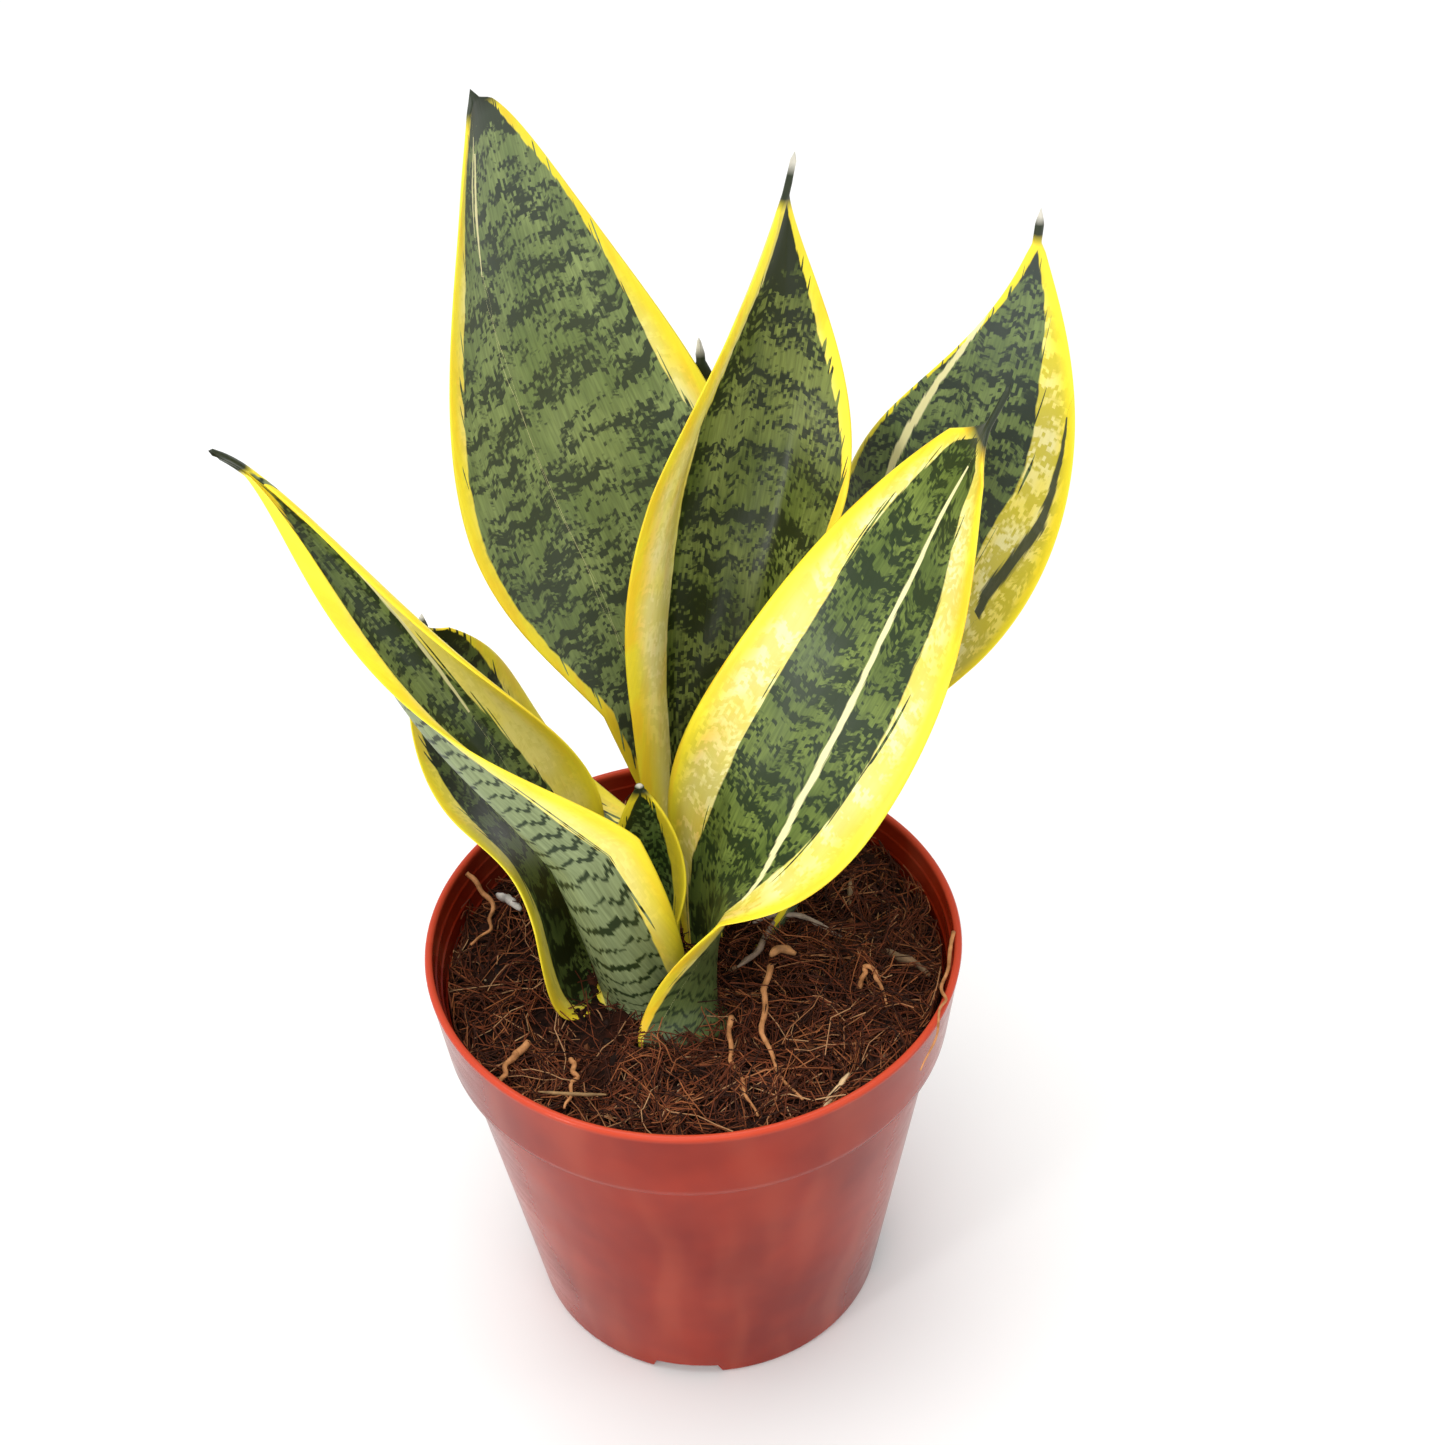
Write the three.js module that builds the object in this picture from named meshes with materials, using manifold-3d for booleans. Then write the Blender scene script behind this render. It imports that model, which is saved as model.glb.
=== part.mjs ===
// Potted variegated snake plant: plastic nursery pot, coir soil, rhizome, eight leaves and surface roots.
// Millimetres, +Z up, origin at the centre of the pot's base, front of the pot towards -Y.
import * as THREE from 'three';
import Module from 'manifold-3d';

const { Manifold, Mesh } = await (async () => {
  const wasm = await Module();
  wasm.setup();
  return wasm;
})();

// ---- pot ---------------------------------------------------------------------------------
const POT_HEIGHT = 97;
const RIM_RADIUS = 55;            // outside, at the top
const COLLAR_RADIUS = 52.8;       // outside, at the lower edge of the collar
const COLLAR_Z = 78;
const BODY_TOP_RADIUS = 50.2;     // outside, just under the collar
const STEP_HEIGHT = 2.5;          // height of the slope between body and collar
const BASE_RADIUS = 38.5;
const BASE_ROUNDING = 1.5;
const WALL = 1.3;
const RIDGES = [93, 89.5, 86];    // heights of the small steps inside the collar
const RIDGE_STEP = 0.35;
const FLOOR_TOP = 4.5;
const CHANNEL_HEIGHT = 3.4;         // drainage channels moulded into the underside
const CHANNEL_WIDTH = 15.5;
const CHANNEL_DRAFT = 1;          // how much each side leans in
const CHANNEL_START = 12;         // radius where a channel begins, leaving the flat hub
const CHANNEL_COUNT = 4;
const CHANNEL_AZIMUTH = -98;      // degrees, of the first channel
const HOLE_RADIUS = 4;
const HOLE_POSITION = 27;         // radius at which the drain holes sit
const POT_SEGMENTS = 64;

// ---- soil --------------------------------------------------------------------------------
const GAP = 0.3;                  // clearance between neighbouring solids
const SOIL_LEVEL = 86.3;
const SOIL_TILT = 0.03;           // rise per millimetre towards +X
const CROWN = { x: -2, y: 4, radius: 28, level: 85.6 };
const MOUND = { x: 31, y: -6, radius: 13, height: 3 };
const SOIL_SIDE_GAP = 0.4;        // clearance between soil and pot wall
const SOIL_SEGMENTS = 48;

// ---- rhizome -----------------------------------------------------------------------------
const RHIZOME = { from: [-12, -8], to: [8, 22], z: 76.6, radius: 8.6 };

// ---- leaves ------------------------------------------------------------------------------
// spine: control points of the leaf's centre line, from the soil to the tip.
// halfWidth: flat half width at the widest place, [left, right].
// base: width at the soil over the widest, [left, right]; widest: where the leaf is widest (0..1);
// taper: exponent of the narrowing towards the tip; point: where the last narrowing begins;
// spineStart: where the blade ends and the pointed spine begins.
// curlLeft, curlRight: how far each side curls up, degrees, at the soil, halfway and at the tip.
// face: compass angle that the inner face looks towards, at the same three places.
const LEAVES = [
  { name: 'leaf_rear_left', spine: [[1, 29, 88], [9, 42, 133], [-14, 47, 167], [-30, 50, 203], [-33, 54, 257]],
    halfWidth: [30, 29], base: [0.2, 0.2], widest: 0.58, taper: 0.55, point: 0.99, spineStart: 0.995,
    curlLeft: [70, 19, 34], curlRight: [73, 20, 31], face: [-113, -66, -21] },
  { name: 'leaf_middle', spine: [[3, 17, 87], [5, 34, 132], [8, 46, 168], [15, 48, 203], [25, 51, 244]],
    halfWidth: [27.5, 26.5], base: [0.38, 0.43], widest: 0.6, taper: 1.23, point: 1, spineStart: 0.965,
    curlLeft: [71, 80, 37], curlRight: [74, 84, 31], face: [-134, -88, -33] },
  { name: 'leaf_right_rear', spine: [[16, 15, 87], [33, 32, 120], [52, 40, 152], [66, 38, 188], [68, 35, 239]],
    halfWidth: [28.5, 28.5], base: [0.51, 0.51], widest: 0.52, taper: 1.2, point: 0.97, spineStart: 0.985,
    curlLeft: [74, 24, 28], curlRight: [75, 33, 28], face: [-161, -154, -60] },
  { name: 'leaf_right_front', spine: [[2, -20, 87.7], [1, 9, 110], [20, 0, 132], [38, 5, 173], [61, 12, 217]],
    halfWidth: [22, 22.5], base: [0.74, 0.66], widest: 0.49, taper: 0.35, point: 0.96, spineStart: 0.97,
    curlLeft: [82, 28, 8], curlRight: [80, 12, 13], face: [120, 226, 170] },
  { name: 'leaf_left_long', spine: [[-11, -13, 87], [-22, -7, 121], [-49, 6, 157], [-67, 21, 196], [-78, -3, 219]],
    halfWidth: [26, 19], base: [0.54, 0.66], widest: 0.28, taper: 1.7, point: 0.95, spineStart: 0.965,
    curlLeft: [94, 121, 36], curlRight: [47, 116, 64], face: [79, -47, -100] },
  { name: 'leaf_left_outer', spine: [[-13, 7, 87], [-25, 6, 103], [-37, 25, 113], [-51, 28, 128], [-50, 24, 163]],
    halfWidth: [28, 26.5], base: [0.86, 0.52], widest: 0.44, taper: 0.64, point: 0.97, spineStart: 0.975,
    curlLeft: [71, 6, 34], curlRight: [64, 38, 31], face: [-61, -8, -47] },
  { name: 'leaf_young', spine: [[-4, 0, 87], [-9, 7, 99], [-9, 9, 110], [-9, 7, 122], [-9, 3, 135]],
    halfWidth: [10.5, 11], base: [0.75, 0.75], widest: 0.42, taper: 0.79, point: 1, spineStart: 0.985,
    curlLeft: [81, 70, 49], curlRight: [85, 69, 49], face: [-135, -94, -87] },
  { name: 'leaf_rear_hidden', spine: [[6, 38, 87.5], [7, 51, 118], [8, 58, 146], [7, 62, 173], [6, 62, 200]],
    halfWidth: [14, 14], base: [0.5, 0.5], widest: 0.45, taper: 0.9, point: 1, spineStart: 0.965,
    curlLeft: [60, 45, 30], curlRight: [60, 45, 30], face: [-95, -90, -85] },
];
const LEAF_THICKNESS = 2.1;       // along the centre line at the soil
const MARGIN_THINNING = 0.55;     // share of the thickness lost at the margins
const TIP_THINNING = 0.4;         // share lost towards the tip
const SPINE_RADIUS = 0.9;
const LEAF_ROWS = 20;
const LEAF_COLUMNS = 8;
const SETTLE = 0.25;              // length over which the base is levelled onto the soil

// ---- roots lying on the soil -------------------------------------------------------------
const ROOTS = [
  { name: 'root_hanging_left', radius: 0.8, path: [[-46, 23, 94], [-44.5, 21, 92], [-43, 16, 90], [-43, 14, 88.5], [-45, 10, 86.8]] },
  { name: 'root_long', radius: 0.7, path: [[17, -5, 91], [14.5, -13, 90.5], [14, -23, 89.5], [17, -33, 88.8], [22, -40, 88.6]] },
  { name: 'root_front', radius: 0.6, path: [[6, -26, 88.5], [7, -32, 88.5], [10, -39, 88.2], [13, -43, 88.2]] },
  { name: 'root_hook', radius: 0.7, path: [[33, -7, 91.5], [35, -10, 94.5], [38, -16, 95], [40, -18, 91.5]] },
  { name: 'root_right', radius: 0.8, path: [[51, 3, 92], [49, -8, 91], [48, -15, 90.5], [46, -21, 90], [42, -28, 89.6]] },
  { name: 'root_left_front', radius: 0.6, path: [[-32, -9, 86.8], [-33, -14, 87], [-36, -20, 86.8]] },
  { name: 'root_stub_left', radius: 1.1, path: [[-33, -24, 87.3], [-36, -28, 87.6], [-39, -33, 87.2]] },
];
const ROOT_STEPS = 12;
const ROOT_SIDES = 6;

// ---- materials ---------------------------------------------------------------------------
const LOOKS = {
  pot: { color: 0xa5341f, roughness: 0.35 },
  soil: { color: 0x3a1f14, roughness: 1 },
  rhizome: { color: 0xb9a070, roughness: 0.8 },
  leaf: { color: 0x55652c, roughness: 0.45 },
  root: { color: 0xc98a55, roughness: 0.85 },
};

function radians(degrees) {
  return (degrees * Math.PI) / 180;
}

function toManifold(geometry) {
  const flat = geometry.index ? geometry.toNonIndexed() : geometry;
  const mesh = new Mesh({
    numProp: 3,
    vertProperties: Float32Array.from(flat.attributes.position.array),
    triVerts: Uint32Array.from({ length: flat.attributes.position.count }, (_, i) => i),
  });
  mesh.merge();
  return new Manifold(mesh);
}

function fromManifold(solid) {
  const { vertProperties, triVerts, numProp } = solid.getMesh();
  const geometry = new THREE.BufferGeometry();
  const points = new Float32Array((vertProperties.length / numProp) * 3);
  for (let i = 0; i < points.length / 3; i++) {
    for (let k = 0; k < 3; k++) points[3 * i + k] = vertProperties[numProp * i + k];
  }
  geometry.setAttribute('position', new THREE.BufferAttribute(points, 3));
  geometry.setIndex(new THREE.BufferAttribute(triVerts, 1));
  return geometry;
}

function named(name, geometry, look) {
  geometry.computeVertexNormals();
  const mesh = new THREE.Mesh(geometry, new THREE.MeshStandardMaterial({ metalness: 0, ...LOOKS[look] }));
  mesh.name = name;
  return mesh;
}

// Outer radius of the pot wall at a height.
function bodyRadius(z) {
  if (z >= COLLAR_Z) {
    return COLLAR_RADIUS + ((RIM_RADIUS - COLLAR_RADIUS) * (z - COLLAR_Z)) / (POT_HEIGHT - COLLAR_Z);
  }
  const foot = BASE_RADIUS;
  return foot + ((BODY_TOP_RADIUS - foot) * z) / (COLLAR_Z - STEP_HEIGHT);
}

// Inner radius of the pot wall at a height.
function innerRadius(z) {
  const steps = RIDGES.filter((ridge) => z < ridge).length;
  if (z >= COLLAR_Z) return bodyRadius(z) - WALL - RIDGE_STEP * steps;
  return bodyRadius(Math.min(z, COLLAR_Z - STEP_HEIGHT)) - WALL;
}

function potProfile() {
  const points = [[0, 0]];
  for (let i = 0; i <= 4; i++) {
    const a = radians(-90 + (90 * i) / 4);
    points.push([
      bodyRadius(BASE_ROUNDING) - BASE_ROUNDING * (1 - Math.cos(a)),
      BASE_ROUNDING * (1 + Math.sin(a)),
    ]);
  }
  points.push([BODY_TOP_RADIUS, COLLAR_Z - STEP_HEIGHT], [COLLAR_RADIUS, COLLAR_Z]);
  points.push([RIM_RADIUS, POT_HEIGHT - 0.6], [RIM_RADIUS - 0.5, POT_HEIGHT]);
  points.push([RIM_RADIUS - WALL + 0.4, POT_HEIGHT], [innerRadius(POT_HEIGHT - 0.5), POT_HEIGHT - 0.5]);
  for (const ridge of RIDGES) {
    points.push([innerRadius(ridge), ridge], [innerRadius(ridge - 0.01), ridge - 0.4]);
  }
  points.push([innerRadius(COLLAR_Z), COLLAR_Z], [innerRadius(0.1 + COLLAR_Z - STEP_HEIGHT - 2), COLLAR_Z - STEP_HEIGHT - 2]);
  points.push([innerRadius(FLOOR_TOP + 2), FLOOR_TOP + 2], [innerRadius(FLOOR_TOP) - 2, FLOOR_TOP], [0, FLOOR_TOP]);
  return points.map(([r, z]) => new THREE.Vector2(r, z));
}

function lathe(profile, segments) {
  const geometry = new THREE.LatheGeometry(profile, segments);
  geometry.rotateX(Math.PI / 2);
  return geometry;
}

function drainChannel() {
  const half = CHANNEL_WIDTH / 2;
  const shape = new THREE.Shape([
    new THREE.Vector2(-half - 0.5, -1), new THREE.Vector2(half + 0.5, -1),
    new THREE.Vector2(half - CHANNEL_DRAFT, CHANNEL_HEIGHT), new THREE.Vector2(CHANNEL_DRAFT - half, CHANNEL_HEIGHT),
  ]);
  const geometry = new THREE.ExtrudeGeometry(shape, { depth: BASE_RADIUS, bevelEnabled: false });
  geometry.rotateX(Math.PI / 2);
  geometry.rotateZ(Math.PI / 2);
  geometry.translate(CHANNEL_START, 0, 0);
  return geometry;
}

function makePot() {
  let pot = toManifold(lathe(potProfile(), POT_SEGMENTS));
  for (let i = 0; i < CHANNEL_COUNT; i++) {
    const turn = radians(CHANNEL_AZIMUTH + (360 * i) / CHANNEL_COUNT);
    const channel = drainChannel().rotateZ(turn);
    const hole = new THREE.CylinderGeometry(HOLE_RADIUS, HOLE_RADIUS, 20, 16).rotateX(Math.PI / 2);
    hole.translate(HOLE_POSITION, 0, 0).rotateZ(turn);
    pot = pot.subtract(toManifold(channel)).subtract(toManifold(hole));
  }
  return named('pot', fromManifold(pot), 'pot');
}

function soilHeight(x, y) {
  const ripple = 0.5 * Math.sin(0.31 * x + 1) * Math.cos(0.27 * y);
  const away = Math.hypot(x - MOUND.x, y - MOUND.y) / MOUND.radius;
  const open = SOIL_LEVEL + SOIL_TILT * x + ripple + MOUND.height * Math.exp(-away * away);
  const near = Math.exp(-((Math.hypot(x - CROWN.x, y - CROWN.y) / CROWN.radius) ** 6));
  return CROWN.level * near + open * (1 - near);
}

// The wall rings go up to the soil's edge, and the surface follows soilHeight towards the middle.
function soilGeometry() {
  const bottom = FLOOR_TOP + GAP;
  const rings = [[innerRadius(bottom) - 3, () => bottom], [innerRadius(bottom + 3) - SOIL_SIDE_GAP, () => bottom + 3]];
  rings.push([innerRadius(COLLAR_Z - STEP_HEIGHT - 2) - SOIL_SIDE_GAP, () => COLLAR_Z - STEP_HEIGHT - 2]);
  const edge = innerRadius(COLLAR_Z) - SOIL_SIDE_GAP;
  rings.push([edge, () => COLLAR_Z + 0.5]);
  for (const share of [1, 0.88, 0.76, 0.63, 0.5, 0.36, 0.2]) rings.push([edge * share, soilHeight]);
  const points = [[0, 0, bottom]];
  for (const [r, height] of rings) {
    for (let i = 0; i < SOIL_SEGMENTS; i++) {
      const a = (2 * Math.PI * i) / SOIL_SEGMENTS;
      const x = r * Math.cos(a);
      const y = r * Math.sin(a);
      points.push([x, y, height(x, y)]);
    }
  }
  points.push([0, 0, soilHeight(0, 0)]);
  const faces = [];
  const at = (ring, i) => 1 + ring * SOIL_SEGMENTS + (i % SOIL_SEGMENTS);
  for (let i = 0; i < SOIL_SEGMENTS; i++) {
    faces.push(0, at(0, i + 1), at(0, i));
    for (let k = 0; k < rings.length - 1; k++) {
      faces.push(at(k, i), at(k, i + 1), at(k + 1, i + 1), at(k, i), at(k + 1, i + 1), at(k + 1, i));
    }
    faces.push(at(rings.length - 1, i), at(rings.length - 1, i + 1), points.length - 1);
  }
  return solidFrom(points, faces);
}

function solidFrom(points, faces) {
  const geometry = new THREE.BufferGeometry();
  geometry.setAttribute('position', new THREE.Float32BufferAttribute(points.flat(), 3));
  geometry.setIndex(faces);
  return geometry;
}

function rhizomeGeometry(radius) {
  const [x0, y0] = RHIZOME.from;
  const [x1, y1] = RHIZOME.to;
  const geometry = new THREE.CapsuleGeometry(radius, Math.hypot(x1 - x0, y1 - y0), 6, 20);
  geometry.rotateZ(Math.atan2(y1 - y0, x1 - x0) - Math.PI / 2);
  geometry.translate((x0 + x1) / 2, (y0 + y1) / 2, RHIZOME.z);
  return geometry;
}

// The pocket for the rhizome stays open at the top, so the soil is one plain solid.
function makeSoil() {
  const [x0, y0] = RHIZOME.from;
  const [x1, y1] = RHIZOME.to;
  const slot = new THREE.BoxGeometry(Math.hypot(x1 - x0, y1 - y0), 2 * RHIZOME.radius - 4, 30);
  slot.rotateZ(Math.atan2(y1 - y0, x1 - x0));
  slot.translate((x0 + x1) / 2, (y0 + y1) / 2, RHIZOME.z + 17);
  let soil = toManifold(soilGeometry());
  soil = soil.subtract(toManifold(rhizomeGeometry(RHIZOME.radius + GAP))).subtract(toManifold(slot));
  return named('soil', fromManifold(soil), 'soil');
}

// A value given at the soil, halfway and at the tip, read smoothly in between.
function along([a, b, c], t) {
  return a * (1 - t) * (1 - 2 * t) + 4 * b * t * (1 - t) + c * t * (2 * t - 1);
}

function bezier(points, t) {
  let row = points.map((p) => new THREE.Vector3(...p));
  while (row.length > 1) row = row.slice(1).map((p, i) => row[i].clone().lerp(p, t));
  return row[0];
}

function bladeWidth(leaf, t, hand) {
  const s = Math.min(1, t / leaf.spineStart);
  const base = leaf.base[hand];
  if (s < leaf.widest) return base + (1 - base) * Math.sin((Math.PI / 2) * (s / leaf.widest)) ** 1.5;
  const full = Math.max(0, 1 - ((s - leaf.widest) / (1 - leaf.widest)) ** 1.7) ** leaf.taper;
  return s > leaf.point ? full * ((1 - s) / (1 - leaf.point)) ** 0.75 : full;
}

// Centre line point, sideways direction and inner-face direction of a leaf at t.
function leafFrame(leaf, t) {
  const step = 0.005;
  const centre = bezier(leaf.spine, t);
  const ahead = bezier(leaf.spine, Math.min(1, t + step)).sub(bezier(leaf.spine, Math.max(0, t - step))).normalize();
  const look = radians(along(leaf.face, t));
  const side = new THREE.Vector3(Math.cos(look), Math.sin(look), 0).cross(ahead).normalize();
  return { centre, side, inward: ahead.clone().cross(side) };
}

// One point of a leaf: u runs from -1 (right margin) to 1 (left margin), layer -1 outside, 1 inside.
function leafPoint(leaf, t, u, layer) {
  const { centre, side, inward } = leafFrame(leaf, t);
  const hand = u > 0 ? 0 : 1;
  const curl = radians(along(hand ? leaf.curlRight : leaf.curlLeft, t));
  const tipWidth = (SPINE_RADIUS * (1 - t)) / (1 - leaf.spineStart);
  const width = Math.max(leaf.halfWidth[hand] * bladeWidth(leaf, t, hand), Math.min(SPINE_RADIUS, tipWidth));
  const bend = curl * Math.abs(u);
  const across = (width / curl) * Math.sin(bend) * Math.sign(u);
  const up = (width / curl) * (1 - Math.cos(bend));
  const half = 0.5 * LEAF_THICKNESS * (1 - TIP_THINNING * t) * (1 - MARGIN_THINNING * u * u);
  const point = centre.clone();
  point.addScaledVector(side, across - layer * half * Math.sin(bend) * Math.sign(u));
  point.addScaledVector(inward, up + layer * half * Math.cos(bend));
  const settle = Math.max(0, 1 - t / SETTLE);
  point.z += (leaf.spine[0][2] - point.z) * settle;
  return point.toArray();
}

function makeLeaf(leaf) {
  const loop = 2 * (LEAF_COLUMNS + 1);
  const points = [];
  for (let j = 0; j < LEAF_ROWS; j++) {
    const t = 0.99 * (1 - (1 - j / (LEAF_ROWS - 1)) ** 1.25);
    for (let i = 0; i <= LEAF_COLUMNS; i++) points.push(leafPoint(leaf, t, (2 * i) / LEAF_COLUMNS - 1, -1));
    for (let i = LEAF_COLUMNS; i >= 0; i--) points.push(leafPoint(leaf, t, (2 * i) / LEAF_COLUMNS - 1, 1));
  }
  const tip = points.push(leaf.spine[leaf.spine.length - 1]) - 1;
  const faces = [];
  for (let i = 0; i < loop; i++) {
    const next = (i + 1) % loop;
    for (let j = 0; j < LEAF_ROWS - 1; j++) {
      const a = j * loop;
      faces.push(a + i, a + next, a + loop + next, a + i, a + loop + next, a + loop + i);
    }
    const last = (LEAF_ROWS - 1) * loop;
    faces.push(last + i, last + next, tip);
  }
  for (let i = 0; i < LEAF_COLUMNS; i++) {
    const far = loop - 1;
    faces.push(i, far - i - 1, i + 1, i, far - i, far - i - 1);
  }
  return named(leaf.name, solidFrom(points, faces), 'leaf');
}

function makeRoot({ name, radius, path }) {
  const curve = new THREE.CatmullRomCurve3(path.map((p) => new THREE.Vector3(...p)));
  const corners = Array.from({ length: ROOT_SIDES }, (_, i) => {
    const a = (2 * Math.PI * i) / ROOT_SIDES;
    return new THREE.Vector2(radius * Math.cos(a), radius * Math.sin(a));
  });
  const settings = { steps: ROOT_STEPS, extrudePath: curve, bevelEnabled: false };
  return named(name, new THREE.ExtrudeGeometry(new THREE.Shape(corners), settings), 'root');
}

function build() {
  const plant = new THREE.Group();
  plant.name = 'potted_snake_plant';
  plant.add(makePot(), makeSoil());
  plant.add(named('rhizome', rhizomeGeometry(RHIZOME.radius), 'rhizome'));
  for (const leaf of LEAVES) plant.add(makeLeaf(leaf));
  for (const root of ROOTS) plant.add(makeRoot(root));
  return plant;
}

export default build();
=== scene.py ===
"""Potted variegated snake plant: moulded pot, coir soil, rhizome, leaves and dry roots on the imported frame."""
import math
from functools import partial

import bpy
import bmesh
import numpy as np
from mathutils import Matrix, Vector, noise


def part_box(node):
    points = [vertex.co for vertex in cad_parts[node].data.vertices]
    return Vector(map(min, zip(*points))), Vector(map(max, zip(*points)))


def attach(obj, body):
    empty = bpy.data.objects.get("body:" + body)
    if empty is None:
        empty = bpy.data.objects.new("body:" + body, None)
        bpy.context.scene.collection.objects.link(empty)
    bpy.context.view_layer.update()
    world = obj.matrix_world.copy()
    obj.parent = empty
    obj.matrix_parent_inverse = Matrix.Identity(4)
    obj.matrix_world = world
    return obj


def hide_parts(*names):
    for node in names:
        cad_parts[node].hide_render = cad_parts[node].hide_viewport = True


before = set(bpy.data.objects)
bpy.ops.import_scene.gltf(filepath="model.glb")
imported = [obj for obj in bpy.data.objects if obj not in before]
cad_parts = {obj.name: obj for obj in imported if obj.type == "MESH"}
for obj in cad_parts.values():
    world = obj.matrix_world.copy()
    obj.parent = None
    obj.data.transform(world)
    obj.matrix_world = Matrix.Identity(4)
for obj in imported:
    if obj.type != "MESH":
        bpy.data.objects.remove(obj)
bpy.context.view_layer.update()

bl_info = {
    "name": "Potted Snake Plant",
    "version": (1, 0, 0),
    "blender": (4, 5, 0),
    "location": "3D View > Sidebar > Snake Plant",
    "description": "Builds a variegated snake plant in its moulded nursery pot",
    "category": "Add Mesh",
}

MM = 0.001

# Nodes by a maker's word: type, sockets in the order they are given, output, settings.
NODES = {
    "blend": ("ShaderNodeMix", (0, 6, 7), 2, {"data_type": "RGBA"}),
    "between": ("ShaderNodeMix", (0, 2, 3), 0, {}),
    "range": ("ShaderNodeMapRange", range(5), 0, {}),
    "eased_range": ("ShaderNodeMapRange", range(5), 0, {"interpolation_type": "SMOOTHSTEP"}),
    "noise": ("ShaderNodeTexNoise", ("Vector", "Scale", "Detail", "Roughness"), 0, {}),
    "noise_vector": ("ShaderNodeTexNoise", ("Vector", "Scale", "Detail"), 1, {}),
    "bump": ("ShaderNodeBump", ("Strength", "Distance", "Height", "Normal"), 0, {}),
    "place": ("ShaderNodeTexCoord", (), "Object", {}),
    "join": ("ShaderNodeCombineXYZ", range(3), 0, {}),
    "parts": ("ShaderNodeSeparateXYZ", (0,), None, {}),
    "random": ("FunctionNodeRandomValue", (2, 3, "Seed"), 1, {"data_type": "FLOAT"}),
    "random_vector": ("FunctionNodeRandomValue", (0, 1, "Seed"), 0, {"data_type": "FLOAT_VECTOR"}),
    "vector_minus": ("ShaderNodeVectorMath", (0, 1), 0, {"operation": "SUBTRACT"}),
    "vector_times": ("ShaderNodeVectorMath", (0, 1), 0, {"operation": "MULTIPLY"}),
    "vector_scaled": ("ShaderNodeVectorMath", (0, "Scale"), 0, {"operation": "SCALE"}),
    "vector_length": ("ShaderNodeVectorMath", (0,), 1, {"operation": "LENGTH"}),
    "position": ("GeometryNodeInputPosition", (), 0, {}),
    "moved": ("GeometryNodeSetPosition", ("Geometry", "Offset"), 0, {}),
    "instances": ("GeometryNodeInstanceOnPoints", ("Points", "Instance", "Rotation", "Scale"), 0, {}),
    "stored": ("GeometryNodeStoreNamedAttribute", ("Geometry", "Name", "Value"), 0,
               {"data_type": "FLOAT", "domain": "INSTANCE"}),
    "realized": ("GeometryNodeRealizeInstances", ("Geometry",), 0, {}),
}
for axis, word in enumerate(("part_x", "part_y", "part_z")):
    NODES[word] = ("ShaderNodeSeparateXYZ", (0,), axis, {})
for word, operation in {"plus": "ADD", "minus": "SUBTRACT", "times": "MULTIPLY", "over": "DIVIDE",
                        "times_plus": "MULTIPLY_ADD", "power": "POWER", "least": "MINIMUM", "floor": "FLOOR",
                        "fraction": "FRACT", "size": "ABSOLUTE", "angle": "ARCTAN2", "sine": "SINE"}.items():
    NODES[word] = ("ShaderNodeMath", range(3), 0, {"operation": operation})

# ---- shapes shared with the frame, millimetres ---------------------------------------------
BODY_TOP_RADIUS = 50.2
COLLAR_RADIUS = 52.8
COLLAR_Z = 78.0
STEP_HEIGHT = 2.5
BASE_RADIUS = 38.5
BASE_ROUNDING = 1.5
RIDGES = (93.0, 89.5, 86.0)
RIDGE_STEP = 0.35
FLOOR_TOP = 4.5
CHANNEL_HEIGHT = 3.4
CHANNEL_WIDTH = 15.5
CHANNEL_DRAFT = 1.0
CHANNEL_START = 12.0
CHANNEL_COUNT = 4
CHANNEL_AZIMUTH = -98.0
HOLE_RADIUS = 4.0
HOLE_POSITION = 27.0

SOIL_LEVEL = 86.3
SOIL_TILT = 0.03
CROWN = {"x": -2.0, "y": 4.0, "radius": 28.0, "level": 85.6}
MOUND = {"x": 26.0, "y": -7.0, "radius": 16.0, "height": 4.0}
RHIZOME = {"start": (-12.0, -8.0), "end": (8.0, 22.0), "z": 76.6, "radius": 8.6}

MARGIN_THINNING = 0.55
TIP_THINNING = 0.4
SPINE_RADIUS = 0.9
SETTLE = 0.25
FOOT_DEPTH = 3.5
SWELL_HEIGHT = 0.45
CELL_WIDTH = 0.65
CELL_HEIGHT = 1.0
BACK_LINE_SPACING = 3.9
SOIL_GAP = 0.4
SOIL_TOP_LIMIT = 93.0
FIBRE_BEND = 11.0
CREASE_ANGLE = 38

# Camera place in metres, angles in degrees (pitch downwards), lens and sensor in mm.
CAMERA = {"place": (0.009, -0.339, 0.4305), "pitch": 39.38, "yaw": -0.2, "roll": -2.32, "lens": 57.55,
          "sensor": 36.0}
# Lights: name, place in metres, size across and up in metres, power in watts; each looks at the plant.
LIGHTS = (
    ("overhead", (-0.2, 0.15, 1.6), (1.5, 1.3), 18.0),
    ("window_left", (-0.85, -0.75, 0.28), (0.16, 0.75), 4.5),
    ("window_front", (-0.25, -1.2, 0.3), (0.14, 0.8), 1.5),
    ("window_right", (0.75, -0.95, 0.3), (0.2, 0.8), 1.3),
    ("side_right", (1.1, -0.1, 0.5), (0.3, 0.9), 1.2),
    ("front", (-0.1, -1.1, 1.2), (0.9, 0.7), 4.0))
LIGHT_TARGET = (0, 0, 0.1)
SKY_STRENGTH = 0.6
FLOOR_Z = -0.05

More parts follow.
